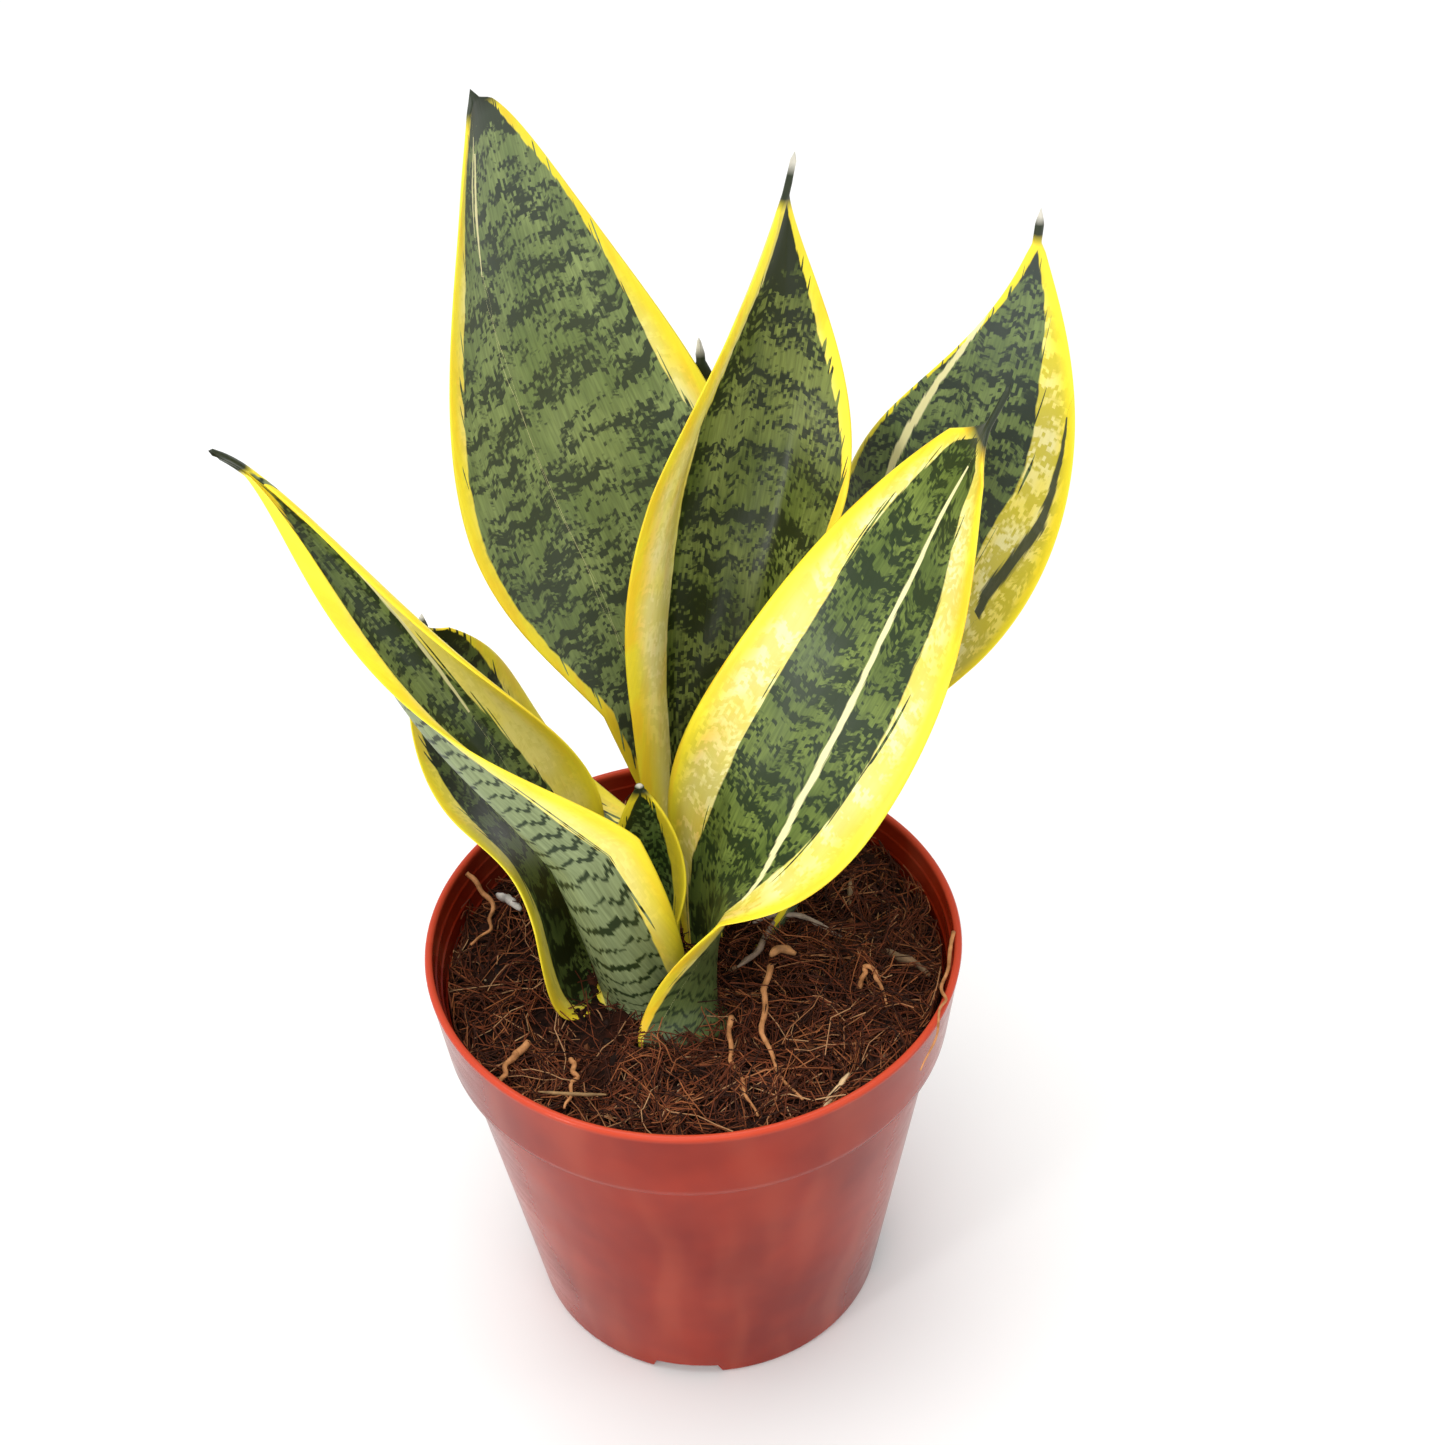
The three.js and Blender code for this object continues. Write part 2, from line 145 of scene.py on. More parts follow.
# Each leaf: spine control points, half widths, outline, point, spine, curl and facing as in the frame.
# band_*: how far the yellow margin reaches in from the edge, (place along the leaf, mm).
# cream, ink, thread: lengthwise streaks, (place along the leaf, mm across from the middle, half width).
# flare: how far the surface swings in before the margin leans out again, mm, (left, right); left out where 0.
LEAVES = {
    "leaf_rear_left": {
        "spine": ((1, 29, 88), (9, 42, 133), (-14, 47, 167), (-30, 50, 203), (-33, 54, 257)),
        "half_width": (30, 29), "base": (0.2, 0.2), "widest": 0.58, "taper": 0.55, "point": 0.99,
        "spine_start": 0.995, "curl_left": (70, 19, 34), "curl_right": (73, 20, 31), "face": (-113, -66, -21),
        "band_left": ((0.1, 2), (0.4, 2.5), (0.55, 2.6), (0.68, 3.6), (0.76, 4.8), (0.84, 5.2), (0.92, 4),
            (0.96, 1.8), (0.985, 1.2)),
        "band_right": ((0.1, 4), (0.5, 5.6), (0.64, 6.4), (0.7, 5.1), (0.8, 2.3), (0.88, 1.4), (0.96, 2.4),
            (0.985, 1.4)),
        "cream": ((0.84, 9.5, 0.1), (0.9, 6.6, 0.5), (0.95, 4, 0.3)),
        "thread": ((0.88, 8.9, 0.1), (0.93, 6.4, 0.35), (0.965, 3.9, 0.2)), "look": "cool"},
    "leaf_middle": {
        "spine": ((3, 17, 87), (5, 34, 132), (8, 46, 168), (15, 48, 203), (25, 51, 244)),
        "half_width": (27.5, 26.5), "base": (0.38, 0.43), "widest": 0.6, "taper": 1.23, "point": 1,
        "spine_start": 0.965, "curl_left": (71, 80, 37), "curl_right": (74, 84, 31), "face": (-134, -88, -33),
        "band_left": ((0.1, 5), (0.3, 10), (0.48, 16), (0.6, 17), (0.7, 15), (0.78, 12), (0.84, 9.6),
            (0.91, 4), (0.95, 2)),
        "band_right": ((0.1, 2.5), (0.5, 2), (0.64, 1.8), (0.7, 2.6), (0.77, 3.2), (0.81, 2.6), (0.86, 2),
            (0.93, 1.4)), "flare": (3, 1.5), "look": "dark"},
    "leaf_right_rear": {
        "spine": ((16, 15, 87), (33, 32, 120), (52, 40, 152), (66, 38, 188), (68, 35, 239)),
        "half_width": (28.5, 28.5), "base": (0.51, 0.51), "widest": 0.52, "taper": 1.2, "point": 0.97,
        "spine_start": 0.985, "curl_left": (74, 24, 28), "curl_right": (75, 33, 28),
        "face": (-161, -154, -60),
        "band_left": ((0.1, 3), (0.5, 1.5), (0.75, 0.5), (0.85, 0.5), (0.9, 1.2), (0.96, 1.4)),
        "band_right": ((0.02, 1), (0.12, 3), (0.24, 8), (0.45, 18.5), (0.59, 18.8), (0.63, 17.4),
            (0.68, 13.9), (0.72, 10.9), (0.78, 8.8), (0.83, 6.5), (0.9, 2.8), (0.96, 1.4)),
        "cream": ((0.5, 20, 0.05), (0.66, 17, 0.9), (0.72, 15, 0.8), (0.78, 13, 0.7), (0.84, 10.2, 0.6),
            (0.9, 7, 0.3)),
        "ink": ((0.54, -17.8, 1.4), (0.57, -15.7, 1.8), (0.62, -16.7, 1.7), (0.68, -17.9, 1.3),
            (0.72, -16.5, 0.9), (0.77, -14.5, 0.4), (0.8, -13, 0.1)), "look": "cool_wide"},
    "leaf_right_front": {
        "spine": ((2, -20, 87.7), (1, 9, 110), (20, 0, 132), (38, 5, 173), (61, 12, 217)),
        "half_width": (22, 22.5), "base": (0.74, 0.66), "widest": 0.49, "taper": 0.35, "point": 0.96,
        "spine_start": 0.96, "curl_left": (82, 28, 8), "curl_right": (80, 12, 13), "face": (120, 226, 170),
        "band_left": ((0.05, 2.4), (0.15, 3.4), (0.24, 5.4), (0.3, 9.8), (0.38, 11.4), (0.48, 11),
            (0.58, 10.5), (0.68, 9.3), (0.78, 6.7), (0.88, 5), (0.94, 4.4)),
        "band_right": ((0.03, 1.6), (0.12, 2.4), (0.18, 4), (0.24, 8), (0.3, 9.8), (0.41, 10), (0.55, 8.4),
            (0.66, 8.3), (0.77, 7.5), (0.88, 7.6), (0.94, 4.5)),
        "cream": ((0.28, -11.7, 0.5), (0.38, -7.7, 0.8), (0.46, -5.9, 0.8), (0.56, -5, 0.7), (0.64, -4, 0.6),
            (0.76, -2.4, 0.55), (0.86, -1.8, 0.5), (0.92, -2.2, 0.3)), "look": "fresh"},
    "leaf_left_long": {
        "spine": ((-11, -13, 87), (-22, -7, 121), (-49, 6, 157), (-67, 21, 196), (-78, -3, 219)),
        "half_width": (26, 19), "base": (0.54, 0.66), "widest": 0.28, "taper": 1.7, "point": 0.95,
        "spine_start": 0.965, "curl_left": (94, 121, 36), "curl_right": (47, 116, 64),
        "face": (79, -47, -100),
        "band_left": ((0.05, 4), (0.19, 7), (0.3, 8.3), (0.41, 5.2), (0.5, 5.4), (0.58, 5.6), (0.66, 5),
            (0.73, 4.2), (0.8, 3.4), (0.88, 2), (0.95, 1.4)),
        "band_right": ((0.05, 5), (0.3, 8.8), (0.4, 10), (0.5, 9.6), (0.6, 6.8), (0.68, 4.6), (0.78, 1.8),
            (0.86, 0.9), (0.95, 0.9)),
        "thread": ((0.46, -3.4, 0.2), (0.54, -3.6, 0.4), (0.62, -3.8, 0.4), (0.7, -3.6, 0.3),
            (0.78, -3, 0.15)), "flare": (3, 0), "look": "pale_back"},
    "leaf_left_outer": {
        "spine": ((-13, 7, 87), (-25, 6, 103), (-37, 25, 113), (-51, 28, 128), (-50, 24, 163)),
        "half_width": (28, 26.5), "base": (0.86, 0.52), "widest": 0.44, "taper": 0.64, "point": 0.97,
        "spine_start": 0.975, "curl_left": (71, 6, 34), "curl_right": (64, 38, 31), "face": (-61, -8, -47),
        "band_left": ((0.03, 3.2), (0.1, 5), (0.2, 6.4), (0.3, 6.6), (0.44, 5.6), (0.64, 5.8), (0.73, 5.2),
            (0.84, 3.4), (0.93, 2.2)),
        "band_right": ((0.05, 4), (0.4, 4.6), (0.64, 4.8), (0.7, 4.4), (0.78, 3.4), (0.85, 2.3), (0.91, 1),
            # painted shade: this leaf takes the darker look "shade" for the shadow over its inner face
            (0.96, 0.3)), "look": "shade"},
    "leaf_young": {
        "spine": ((-4, 0, 87), (-9, 7, 99), (-9, 9, 110), (-9, 7, 122), (-9, 3, 135)),
        "half_width": (10.5, 11), "base": (0.75, 0.75), "widest": 0.42, "taper": 0.79, "point": 1,
        "spine_start": 0.985, "curl_left": (81, 70, 49), "curl_right": (85, 69, 49), "face": (-135, -94, -87),
        "band_left": ((0.1, 2), (0.5, 2.4), (0.82, 2.4), (0.95, 1.5)),
        "band_right": ((0.1, 3.2), (0.46, 4.6), (0.57, 4.4), (0.69, 3.8), (0.82, 2.6), (0.93, 1.6)),
        "look": "young"},
    "leaf_rear_hidden": {
        "spine": ((6, 38, 87.5), (7, 51, 118), (8, 58, 146), (7, 62, 173), (6, 62, 200)),
        "half_width": (14, 14), "base": (0.5, 0.5), "widest": 0.45, "taper": 0.9, "point": 1,
        "spine_start": 0.965, "curl_left": (60, 45, 30), "curl_right": (60, 45, 30), "face": (-95, -90, -85),
        "band_left": ((0.1, 2), (0.5, 3), (0.9, 2)), "band_right": ((0.1, 2), (0.5, 3), (0.9, 2)),
        "look": "dark"},
}

# Colours and pattern of each kind of leaf.
# shade: share of dark; bands_wide, bands_high: size of a crossband in mm; tip_dark, spine, pale_tip: mm from
# the tip; blotch, orange, cream: how much of each in the margins; lines: how much the back is lined.
LOOK_FIELDS = ("dark", "pale", "bright", "shade", "bands_wide", "bands_high", "tip_dark", "spine",
               "pale_tip", "blotch", "orange", "cream", "back", "lines")
LOOKS = {key: dict(zip(LOOK_FIELDS, row)) for key, row in {
    "cool": ("3E4738", "788A54", "95A568", 0.57, 11.0, 2.7, 8.0, 3.0, 0.0, 0.25, 0.45, 0.7, "7D8A60", 0.3),
    "cool_wide": ("39423A", "6C7E4C", "84965C", 0.59, 11.0, 2.8, 10.0, 5.0, 2.5, 0.8, 0.15, 0.95, "7D8A60",
                  0.3),
    "dark": ("212A0C", "566426", "7E8A40", 0.6, 15.0, 3.4, 22.0, 9.0, 3.5, 0.3, 0.6, 0.75, "5C6B40", 0.2),
    "fresh": ("27351A", "5A6C30", "77883F", 0.59, 10.5, 2.8, 13.0, 11.0, 0.0, 0.55, 0.75, 0.85, "5E6C3C", 0.9),
    "pale_back": ("28351A", "63763A", "809150", 0.575, 10.0, 3.0, 12.0, 10.0, 0.0, 0.2, 0.3, 0.5, "8C996A",
                  1.0),
    # painted shade: the look "shade" is a darker set of leaf colours, standing for the shadow over
    # leaf_left_outer's inner face
    "shade": ("1C2510", "52632F", "728344", 0.6, 9.0, 3.4, 8.0, 4.0, 1.5, 0.35, 0.35, 0.4, "5C6B44", 0.3),
    "young": ("24331A", "5E7A3C", "83985A", 0.6, 7.0, 2.2, 5.0, 2.0, 0.6, 0.2, 0.1, 0.1, "6B7E45", 0.3),
}.items()}

# Roots lying on the soil: radius and path in mm.
ROOTS = {
    "root_hanging_left": (0.6, ((-48, 22, 95.4), (-44.6, 20, 91.9), (-42.8, 15.5, 89.8), (-43.4, 11, 89),
        (-47, 7.6, 88.2))),
    "root_long": (0.7, ((15.6, -7, 93.4), (14.2, -14, 93), (13.6, -22, 91.6), (15.6, -32, 90.2),
        (20.6, -39.6, 89.4))),
    "root_front": (0.6, ((7.2, -18, 90.6), (6.7, -26, 90.2), (8.8, -35, 89.6), (11.8, -43, 89))),
    "root_hook": (0.65, ((33.4, -12.6, 91.6), (34.6, -10.5, 94.8), (36.6, -11.6, 94.8), (38.6, -17, 91.4))),
    "root_right": (0.42, ((53.2, -3, 97.2), (51.0, -12, 96.4), (49.6, -19, 96.8), (49.0, -23.6, 98.4),
        (47.3, -30.4, 97.7), (43.4, -37.8, 94.6))),
    "root_left_front": (0.6, ((-24.8, -26.5, 89.2), (-23.8, -32, 89.8), (-25.8, -39.4, 89.2))),
    "root_stub_left": (0.8, ((-33.4, -21.5, 89), (-36.8, -26.5, 89.4), (-39, -33, 88.8))),
}
# Other things lying on the soil: colour, radius and path in mm.
FINDS = {
    "straw_front": ("B08A5A", 0.4, ((-31, -35, 89.4), (-24, -36.2, 89.7), (-17.6, -36.4, 89.4))),
    "splinter_front": ("E0BC8C", 0.65, ((23.6, -42.6, 88.6), (26.6, -38.4, 89.4), (29.9, -33.9, 90.2))),
    "twig_right": ("8E7050", 0.9, ((38.4, -1.4, 91.2), (42, -4.2, 91.8), (45.6, -6, 91.2), (48, -8.4, 90.2))),
    "twig_rear": ("B99A74", 0.6, ((33.8, 21.5, 89.8), (33.4, 17.4, 90), (33.1, 13.2, 89.6))),
    "pale_bit_left": ("E8E2D6", 1.0, ((-42.2, 22.6, 88.4), (-39.6, 20.4, 88.6), (-36.8, 17.6, 88.2))),
    "root_knot": ("C98E58", 0.95, ((15.6, -2.6, 92), (18, -1.4, 92.6), (21, -2.4, 92))),
    "root_hair_upper": ("B9A593", 0.6, ((12.4, 8.6, 90.6), (17, 9.2, 92), (23, 8.2, 92.2),
        (30.6, 2.8, 91.2))),
    "root_hair_lower": ("9C8570", 0.7, ((17.4, 8.8, 91.8), (14.6, 3.2, 91.2), (13, -0.8, 91.2),
        (8.8, -4.6, 91))),
}


# ---- small helpers ---------------------------------------------------------------------------
def linear(code):
    """Linear RGBA of an sRGB hex colour."""
    parts = [int(code[i:i + 2], 16) / 255 for i in (0, 2, 4)]
    return tuple(c / 12.92 if c <= 0.04045 else ((c + 0.055) / 1.055) ** 2.4 for c in parts) + (1.0,)


def add(tree, word, *values, out=0, **named):
    """Adds a node and returns its output, or the node where out is None.

    Values fill or link its sockets in the order of NODES; a name with a capital is a socket, another a setting.
    """
    kind, order, out, settings = NODES.get(word, (word, range(9), out, {}))
    made = tree.nodes.new(kind)
    sockets = dict(zip(order, values))
    for name, value in {**settings, **named}.items():
        if name[0].isupper():
            sockets[name.replace("_", " ")] = value
        else:
            setattr(made, name, value)
    for key, value in sockets.items():
        if isinstance(value, bpy.types.NodeSocket):
            tree.links.new(value, made.inputs[key])
        else:
            made.inputs[key].default_value = value
    return made if out is None else made.outputs[out]


def new_material(name, roughness, **sockets):
    """A material with a principled shader, with what adds its nodes and what links them to its sockets."""
    material = bpy.data.materials.new(name)
    material.use_nodes = True
    tree = material.node_tree
    shader = tree.nodes["Principled BSDF"]
    for key, value in {"Roughness": roughness, **sockets}.items():
        shader.inputs[key.replace("_", " ")].default_value = value

    def link(**outputs):
        for key, output in outputs.items():
            tree.links.new(output, shader.inputs[key.replace("_", " ")])
    return material, partial(add, tree), link


def mesh_piece(name, points, faces, material, attributes=None, smooth=True):
    """A closed mesh object from points in mm, faces outwards, with float or vector attributes on its points."""
    mesh = bpy.data.meshes.new(name)
    mesh.from_pydata((np.asarray(points) * MM).tolist(), [], faces)
    for key, values in (attributes or {}).items():
        values = np.asarray(values, np.float32)
        kind, field = ("FLOAT_VECTOR", "vector") if values.ndim > 1 else ("FLOAT", "value")
        mesh.attributes.new(key, kind, "POINT").data.foreach_set(field, values.ravel())
    work = bmesh.new()
    work.from_mesh(mesh)
    bmesh.ops.recalc_face_normals(work, faces=work.faces)
    work.to_mesh(mesh)
    work.free()
    mesh.polygons.foreach_set("use_smooth", [smooth] * len(mesh.polygons))
    mesh.materials.append(material)
    piece = bpy.data.objects.new(name, mesh)
    bpy.context.scene.collection.objects.link(piece)
    return piece


def settle_in(piece, slot, *nodes):
    """Lets a finished piece ride on the body and stand for its frame nodes; its slot is not used."""
    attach(piece, "root")
    if nodes:
        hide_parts(*nodes)
    return piece


def baked(source, name):
    """A plain mesh object from a source object with its modifiers applied."""
    graph = bpy.context.evaluated_depsgraph_get()
    mesh = bpy.data.meshes.new_from_object(source.evaluated_get(graph), depsgraph=graph)
    mesh.name = name
    piece = bpy.data.objects.new(name, mesh)
    bpy.context.scene.collection.objects.link(piece)
    return piece


def discard(*objects):
    """Removes helper objects that a piece no longer needs."""
    for thing in objects:
        bpy.data.objects.remove(thing, do_unlink=True)


def quads(rows, columns, close_columns=True):
    """Faces of a grid of points numbered row by row."""
    span = columns if close_columns else columns - 1
    return [(j * columns + i, j * columns + (i + 1) % columns,
             (j + 1) * columns + (i + 1) % columns, (j + 1) * columns + i)
            for j in range(rows - 1) for i in range(span)]


# ---- pot -------------------------------------------------------------------------------------
def body_radius(z, pot):
    """Outer radius of the pot wall at a height, mm."""
    height, rim = pot.height / MM, pot.rim_radius / MM
    if z >= COLLAR_Z:
        return COLLAR_RADIUS + (rim - COLLAR_RADIUS) * (z - COLLAR_Z) / (height - COLLAR_Z)
    return BASE_RADIUS + (BODY_TOP_RADIUS - BASE_RADIUS) * z / (COLLAR_Z - STEP_HEIGHT)


def inner_radius(z, pot):
    """Inner radius of the pot wall at a height, mm."""
    wall = pot.wall / MM
    steps = sum(z < ridge for ridge in RIDGES)
    if z >= COLLAR_Z:
        return body_radius(z, pot) - wall - RIDGE_STEP * steps
    return body_radius(min(z, COLLAR_Z - STEP_HEIGHT), pot) - wall


def pot_profile(pot):
    """Half section of the pot: foot, wall, step, collar, lip, ridges and floor, as (radius, height) in mm."""
    height, rim, wall = pot.height / MM, pot.rim_radius / MM, pot.wall / MM
    points = [(0, 0), (12, 0), (24, 0)]
    for i in range(9):
        a = math.radians(-90 + 90 * i / 8)
        points.append((body_radius(BASE_ROUNDING, pot) - BASE_ROUNDING * (1 - math.cos(a)),
                       BASE_ROUNDING * (1 + math.sin(a))))
    points += [(body_radius(z, pot), z) for z in (12, 22, 32, 42, 52, 62, 70, 74.6)]
    points += [(BODY_TOP_RADIUS, 75.5), (BODY_TOP_RADIUS + 0.35, 75.85)]
    points += [(COLLAR_RADIUS - 0.5, 77.5), (COLLAR_RADIUS, COLLAR_Z + 0.2),
               (body_radius(COLLAR_Z + 1.5, pot), COLLAR_Z + 1.5)]
    points += [(body_radius(z, pot), z) for z in (84, 89, 93)]
    bead = wall * 0.62
    for i in range(9):
        a = math.radians(-20 + 220 * i / 8)
        points.append((rim - bead + bead * math.cos(a), height - bead + bead * math.sin(a)))
    for ridge in RIDGES:
        above, below = inner_radius(ridge, pot), inner_radius(ridge - 0.01, pot)
        points += [(above, ridge + 0.25), (above - 0.05, ridge), (below - 0.05, ridge - 0.3),
                   (below, ridge - 0.55)]
    points += [(inner_radius(COLLAR_Z, pot), COLLAR_Z), (inner_radius(73, pot), 73.5)]
    points += [(inner_radius(z, pot), z) for z in (50, 25, FLOOR_TOP + 2)]
    points += [(inner_radius(FLOOR_TOP, pot) - 2, FLOOR_TOP), (20, FLOOR_TOP), (0, FLOOR_TOP)]
    return points


def capped_rings(rings, segments):
    """Faces of stacked rings numbered from 1, closed by a first and a last pole."""
    last = 1 + rings * segments
    faces = [tuple(1 + i for i in face) for face in quads(rings, segments)]
    for i in range(segments):
        faces += [(0, 1 + (i + 1) % segments, 1 + i),
                  (last, last - segments + i, last - segments + (i + 1) % segments)]
    return faces


def lathe_points(profile, segments):
    """Points and faces of a turned profile; its first and last points are poles."""
    angle = np.arange(segments) * 2 * np.pi / segments
    rings = [np.stack([r * np.cos(angle), r * np.sin(angle), np.full(segments, z)], 1)
             for r, z in profile[1:-1]]
    points = np.concatenate([[[0, 0, profile[0][1]]], *rings, [[0, 0, profile[-1][1]]]])
    return points, capped_rings(len(rings), segments)


def drain_cutters():
    """The drainage channels, and the drain holes, each as one object for a boolean."""
    half, depth = CHANNEL_WIDTH / 2, CHANNEL_HEIGHT
    section = ((-half - 0.5, -1), (half + 0.5, -1), (half - CHANNEL_DRAFT, depth),
               (CHANNEL_DRAFT - half, depth))
    channels, channel_faces, holes, hole_faces = [], [], [], []
    for i in range(CHANNEL_COUNT):
        turn = Matrix.Rotation(math.radians(CHANNEL_AZIMUTH + 360 * i / CHANNEL_COUNT), 3, "Z")
        first = len(channels)
        channels += [turn @ Vector((x, y, z)) for x in (CHANNEL_START, CHANNEL_START + BASE_RADIUS)
                     for y, z in section]
        channel_faces += [tuple(first + k for k in face) for face in
                          ((0, 1, 2, 3), (7, 6, 5, 4), (0, 4, 5, 1), (1, 5, 6, 2), (2, 6, 7, 3), (3, 7, 4, 0))]
        first, sides = len(holes), 32
        for z in (-2, 12):
            holes += [turn @ Vector((HOLE_POSITION + HOLE_RADIUS * math.cos(2 * math.pi * k / sides),
                                     HOLE_RADIUS * math.sin(2 * math.pi * k / sides), z)) for k in range(sides)]
        hole_faces += [tuple(first + k for k in face) for face in quads(2, sides)]
        hole_faces += [tuple(first + k for k in range(sides)), tuple(first + sides + k for k in range(sides))]
    plain = bpy.data.materials.get("cutter") or bpy.data.materials.new("cutter")
    return (mesh_piece("cut_channels", [tuple(p) for p in channels], channel_faces, plain, smooth=False),
            mesh_piece("cut_holes", [tuple(p) for p in holes], hole_faces, plain, smooth=False))


def pot_material(pot):
    """Polypropylene, injection moulded: a satin skin with faint flow marks and slightly wavy reflections."""
    material, n, link = new_material("polypropylene, injection moulded", 0.24, IOR=1.49,
                                     Specular_IOR_Level=0.16)
    place = n("place")
    z = n("part_z", place)
    # cloudy pigment, patches of about 30 mm
    cloud = n("noise", place, 1 / (30 * MM), 3.0, 0.5)
    shade = n("blend", n("range", cloud, 0.35, 0.65), pot.colour, pot.colour_deep)
    # painted reflection: wide, faint, paler upright streaks 15 to 30 mm apart, a window's reflection painted
    # into the plastic's colour
    turn = n("angle", n("part_y", place), n("part_x", place))
    lean = n("noise", place, 1 / (45 * MM), 1.0)
    streak_at = n("join", n("times_plus", turn, 2.4, n("times", lean, 0.8)), n("times", z, 9.0))
    reflection_streaks = n("noise", streak_at, 1.6, 1.5, 0.45)
    reflection_streaks = n("eased_range", reflection_streaks, 0.44, 0.74, 0.0, 0.24)
    shade = n("blend", reflection_streaks, shade, pot.colour_reflection_streaks)
    # painted highlight: the top 1.6 mm of the thin lip is painted brighter
    lip = n("range", z, pot.height - 1.6 * MM, pot.height - 0.3 * MM, 0.0, 0.75)
    shade = n("blend", lip, shade, pot.colour_lip_highlight)
    # flow marks run round the wall, 1.2 mm apart
    stretch = n("ShaderNodeMapping", Vector=place, Scale=(8, 8, 1 / (1.2 * MM)))
    drag = n("noise", stretch, 1.0, 2.0)
    # dust and handling scuffs, 2 mm
    scuff = n("noise", place, 1 / (2 * MM), 4.0, 0.7)
    # the wall sags a little in patches of 26 mm
    wavy = n("bump", 0.5, 1.0 * MM, n("noise", place, 1 / (26 * MM), 1.0))
    link(Base_Color=shade, Roughness=n("range", n("plus", scuff, drag), 0.7, 1.3, 0.16, 0.27),
         Normal=n("bump", 0.1, 0.02 * MM, drag, wavy))
    return material


# ---- soil ------------------------------------------------------------------------------------
def soil_height(x, y):
    """Height of the soil before its crumbs, mm."""
    ripple = 0.5 * np.sin(0.31 * x + 1) * np.cos(0.27 * y)
    away = np.hypot(x - MOUND["x"], y - MOUND["y"]) / MOUND["radius"]
    level = SOIL_LEVEL + SOIL_TILT * x + ripple + MOUND["height"] * np.exp(-away ** 2)
    near = np.exp(-(np.hypot(x - CROWN["x"], y - CROWN["y"]) / CROWN["radius"]) ** 6)
    return (CROWN["level"] + 0.7) * near + level * (1 - near)


def soil_material(soil):
    """Coconut coir, milled and damp: matt and dark, grains of 1 to 3 mm in several browns."""
    material, n, link = new_material("coconut coir, milled", 0.95, Specular_IOR_Level=0.2)
    place = n("place")
    clump = n("noise", place, 1 / (9 * MM), 3.0)
    grain = n("noise", place, 1 / (1.4 * MM), 4.0, 0.65)
    # painted shade: the dark brown falls in the low spots of the grain that also drives the bump, partly the
    # coir's own darker grains and partly painted shade in the hollows
    shade = n("blend", n("range", grain, 0.35, 0.68), soil.colour_dark, soil.colour)
    shade = n("blend", n("range", clump, 0.5, 0.75, 0.0, 0.6), shade, soil.colour_red)
    link(Base_Color=shade, Normal=n("bump", 0.9, 0.8 * MM, grain))
    return material


def soil_mesh(soil, pot):
    """Points and faces of the soil: walls down to the floor of the pot and a crumbly top."""
    segments, rings = 220, 84
    angle = np.arange(segments) * 2 * np.pi / segments
    edge = inner_radius(COLLAR_Z, pot) - SOIL_GAP
    rows = [(inner_radius(FLOOR_TOP + 0.3, pot) - 3, FLOOR_TOP + 0.3), (inner_radius(8, pot) - SOIL_GAP, 8.0),
            (inner_radius(73, pot) - SOIL_GAP, 73.0), (edge, COLLAR_Z + 0.5)]
    points = [[[0, 0, FLOOR_TOP + 0.3]]]
    litter = [np.zeros(1 + segments * len(rows))]
    for r, z in rows:
        points.append(np.stack([r * np.cos(angle), r * np.sin(angle), np.full(segments, z)], 1))
    for k in range(rings):
        r = edge * (1 - k / rings) ** 0.9
        x, y = r * np.cos(angle), r * np.sin(angle)
        rough = np.array([noise.fractal(Vector((a, b, 3.0)) / 4.5, 0.7, 2.1, 5) for a, b in zip(x, y)])
        lumps = np.array([noise.noise(Vector((a, b, 9.0)) / 14.0) for a, b in zip(x, y)])
        z = soil_height(x, y) + soil.crumble / MM * rough + 0.5 * lumps
        points.append(np.stack([x, y, np.minimum(z, SOIL_TOP_LIMIT)], 1))
        heap = np.exp(-((x - MOUND["x"]) ** 2 + (y - MOUND["y"]) ** 2) / 22.0 ** 2)
        litter.append(0.35 + heap + 0.25 * (y < -22) + 0.35 * (r > 40))
    points.append([[0, 0, CROWN["level"]]])
    litter.append([0.3])
    return np.concatenate(points), capped_rings(len(rows) + rings, segments), np.concatenate(litter)


# ---- litter ----------------------------------------------------------------------------------
def litter_material(name, colours, specular):
    """Husk fibre or husk crumb, torn and dry: matt, each piece its own brown from straw to dark red."""
    material, n, link = new_material(name, 0.8, Specular_IOR_Level=specular)
    tone = n("ShaderNodeAttribute", attribute_name="tone", out="Fac")
    ramp = n("ShaderNodeValToRGB", tone, out=None)
    stops = ramp.color_ramp.elements
    while len(stops) < len(colours):
        stops.new(0.5)
    for i, (place, code) in enumerate(colours):
        stops[i].position, stops[i].color = place, linear(code)
    blot = n("noise", n("place"), 1 / (1.5 * MM), 2.0)
    link(Base_Color=n("blend", n("range", blot, 0.3, 0.7, 0.0, 0.35), ramp.outputs[0], linear("24120B")))
    return material


def litter_tree(name, seed, sizes):
    """Starts a scatter tree with named sizes: points on the surface, denser where its litter value is high."""
    tree = bpy.data.node_groups.new(name, "GeometryNodeTree")
    tree.interface.new_socket("Surface", in_out="INPUT", socket_type="NodeSocketGeometry")
    for label, value in sizes.items():
        tree.interface.new_socket(label, in_out="INPUT", socket_type="NodeSocketFloat").default_value = value
    tree.interface.new_socket("Litter", in_out="OUTPUT", socket_type="NodeSocketGeometry")
    n = partial(add, tree)
    given = n("NodeGroupInput", out=None).outputs
    weight = n("GeometryNodeInputNamedAttribute", Name="litter", data_type="FLOAT")
    points = n("GeometryNodeDistributePointsOnFaces", Mesh=given["Surface"],
               Density=n("times", weight, given["Density"]), Seed=seed)
    return tree, n, given, points


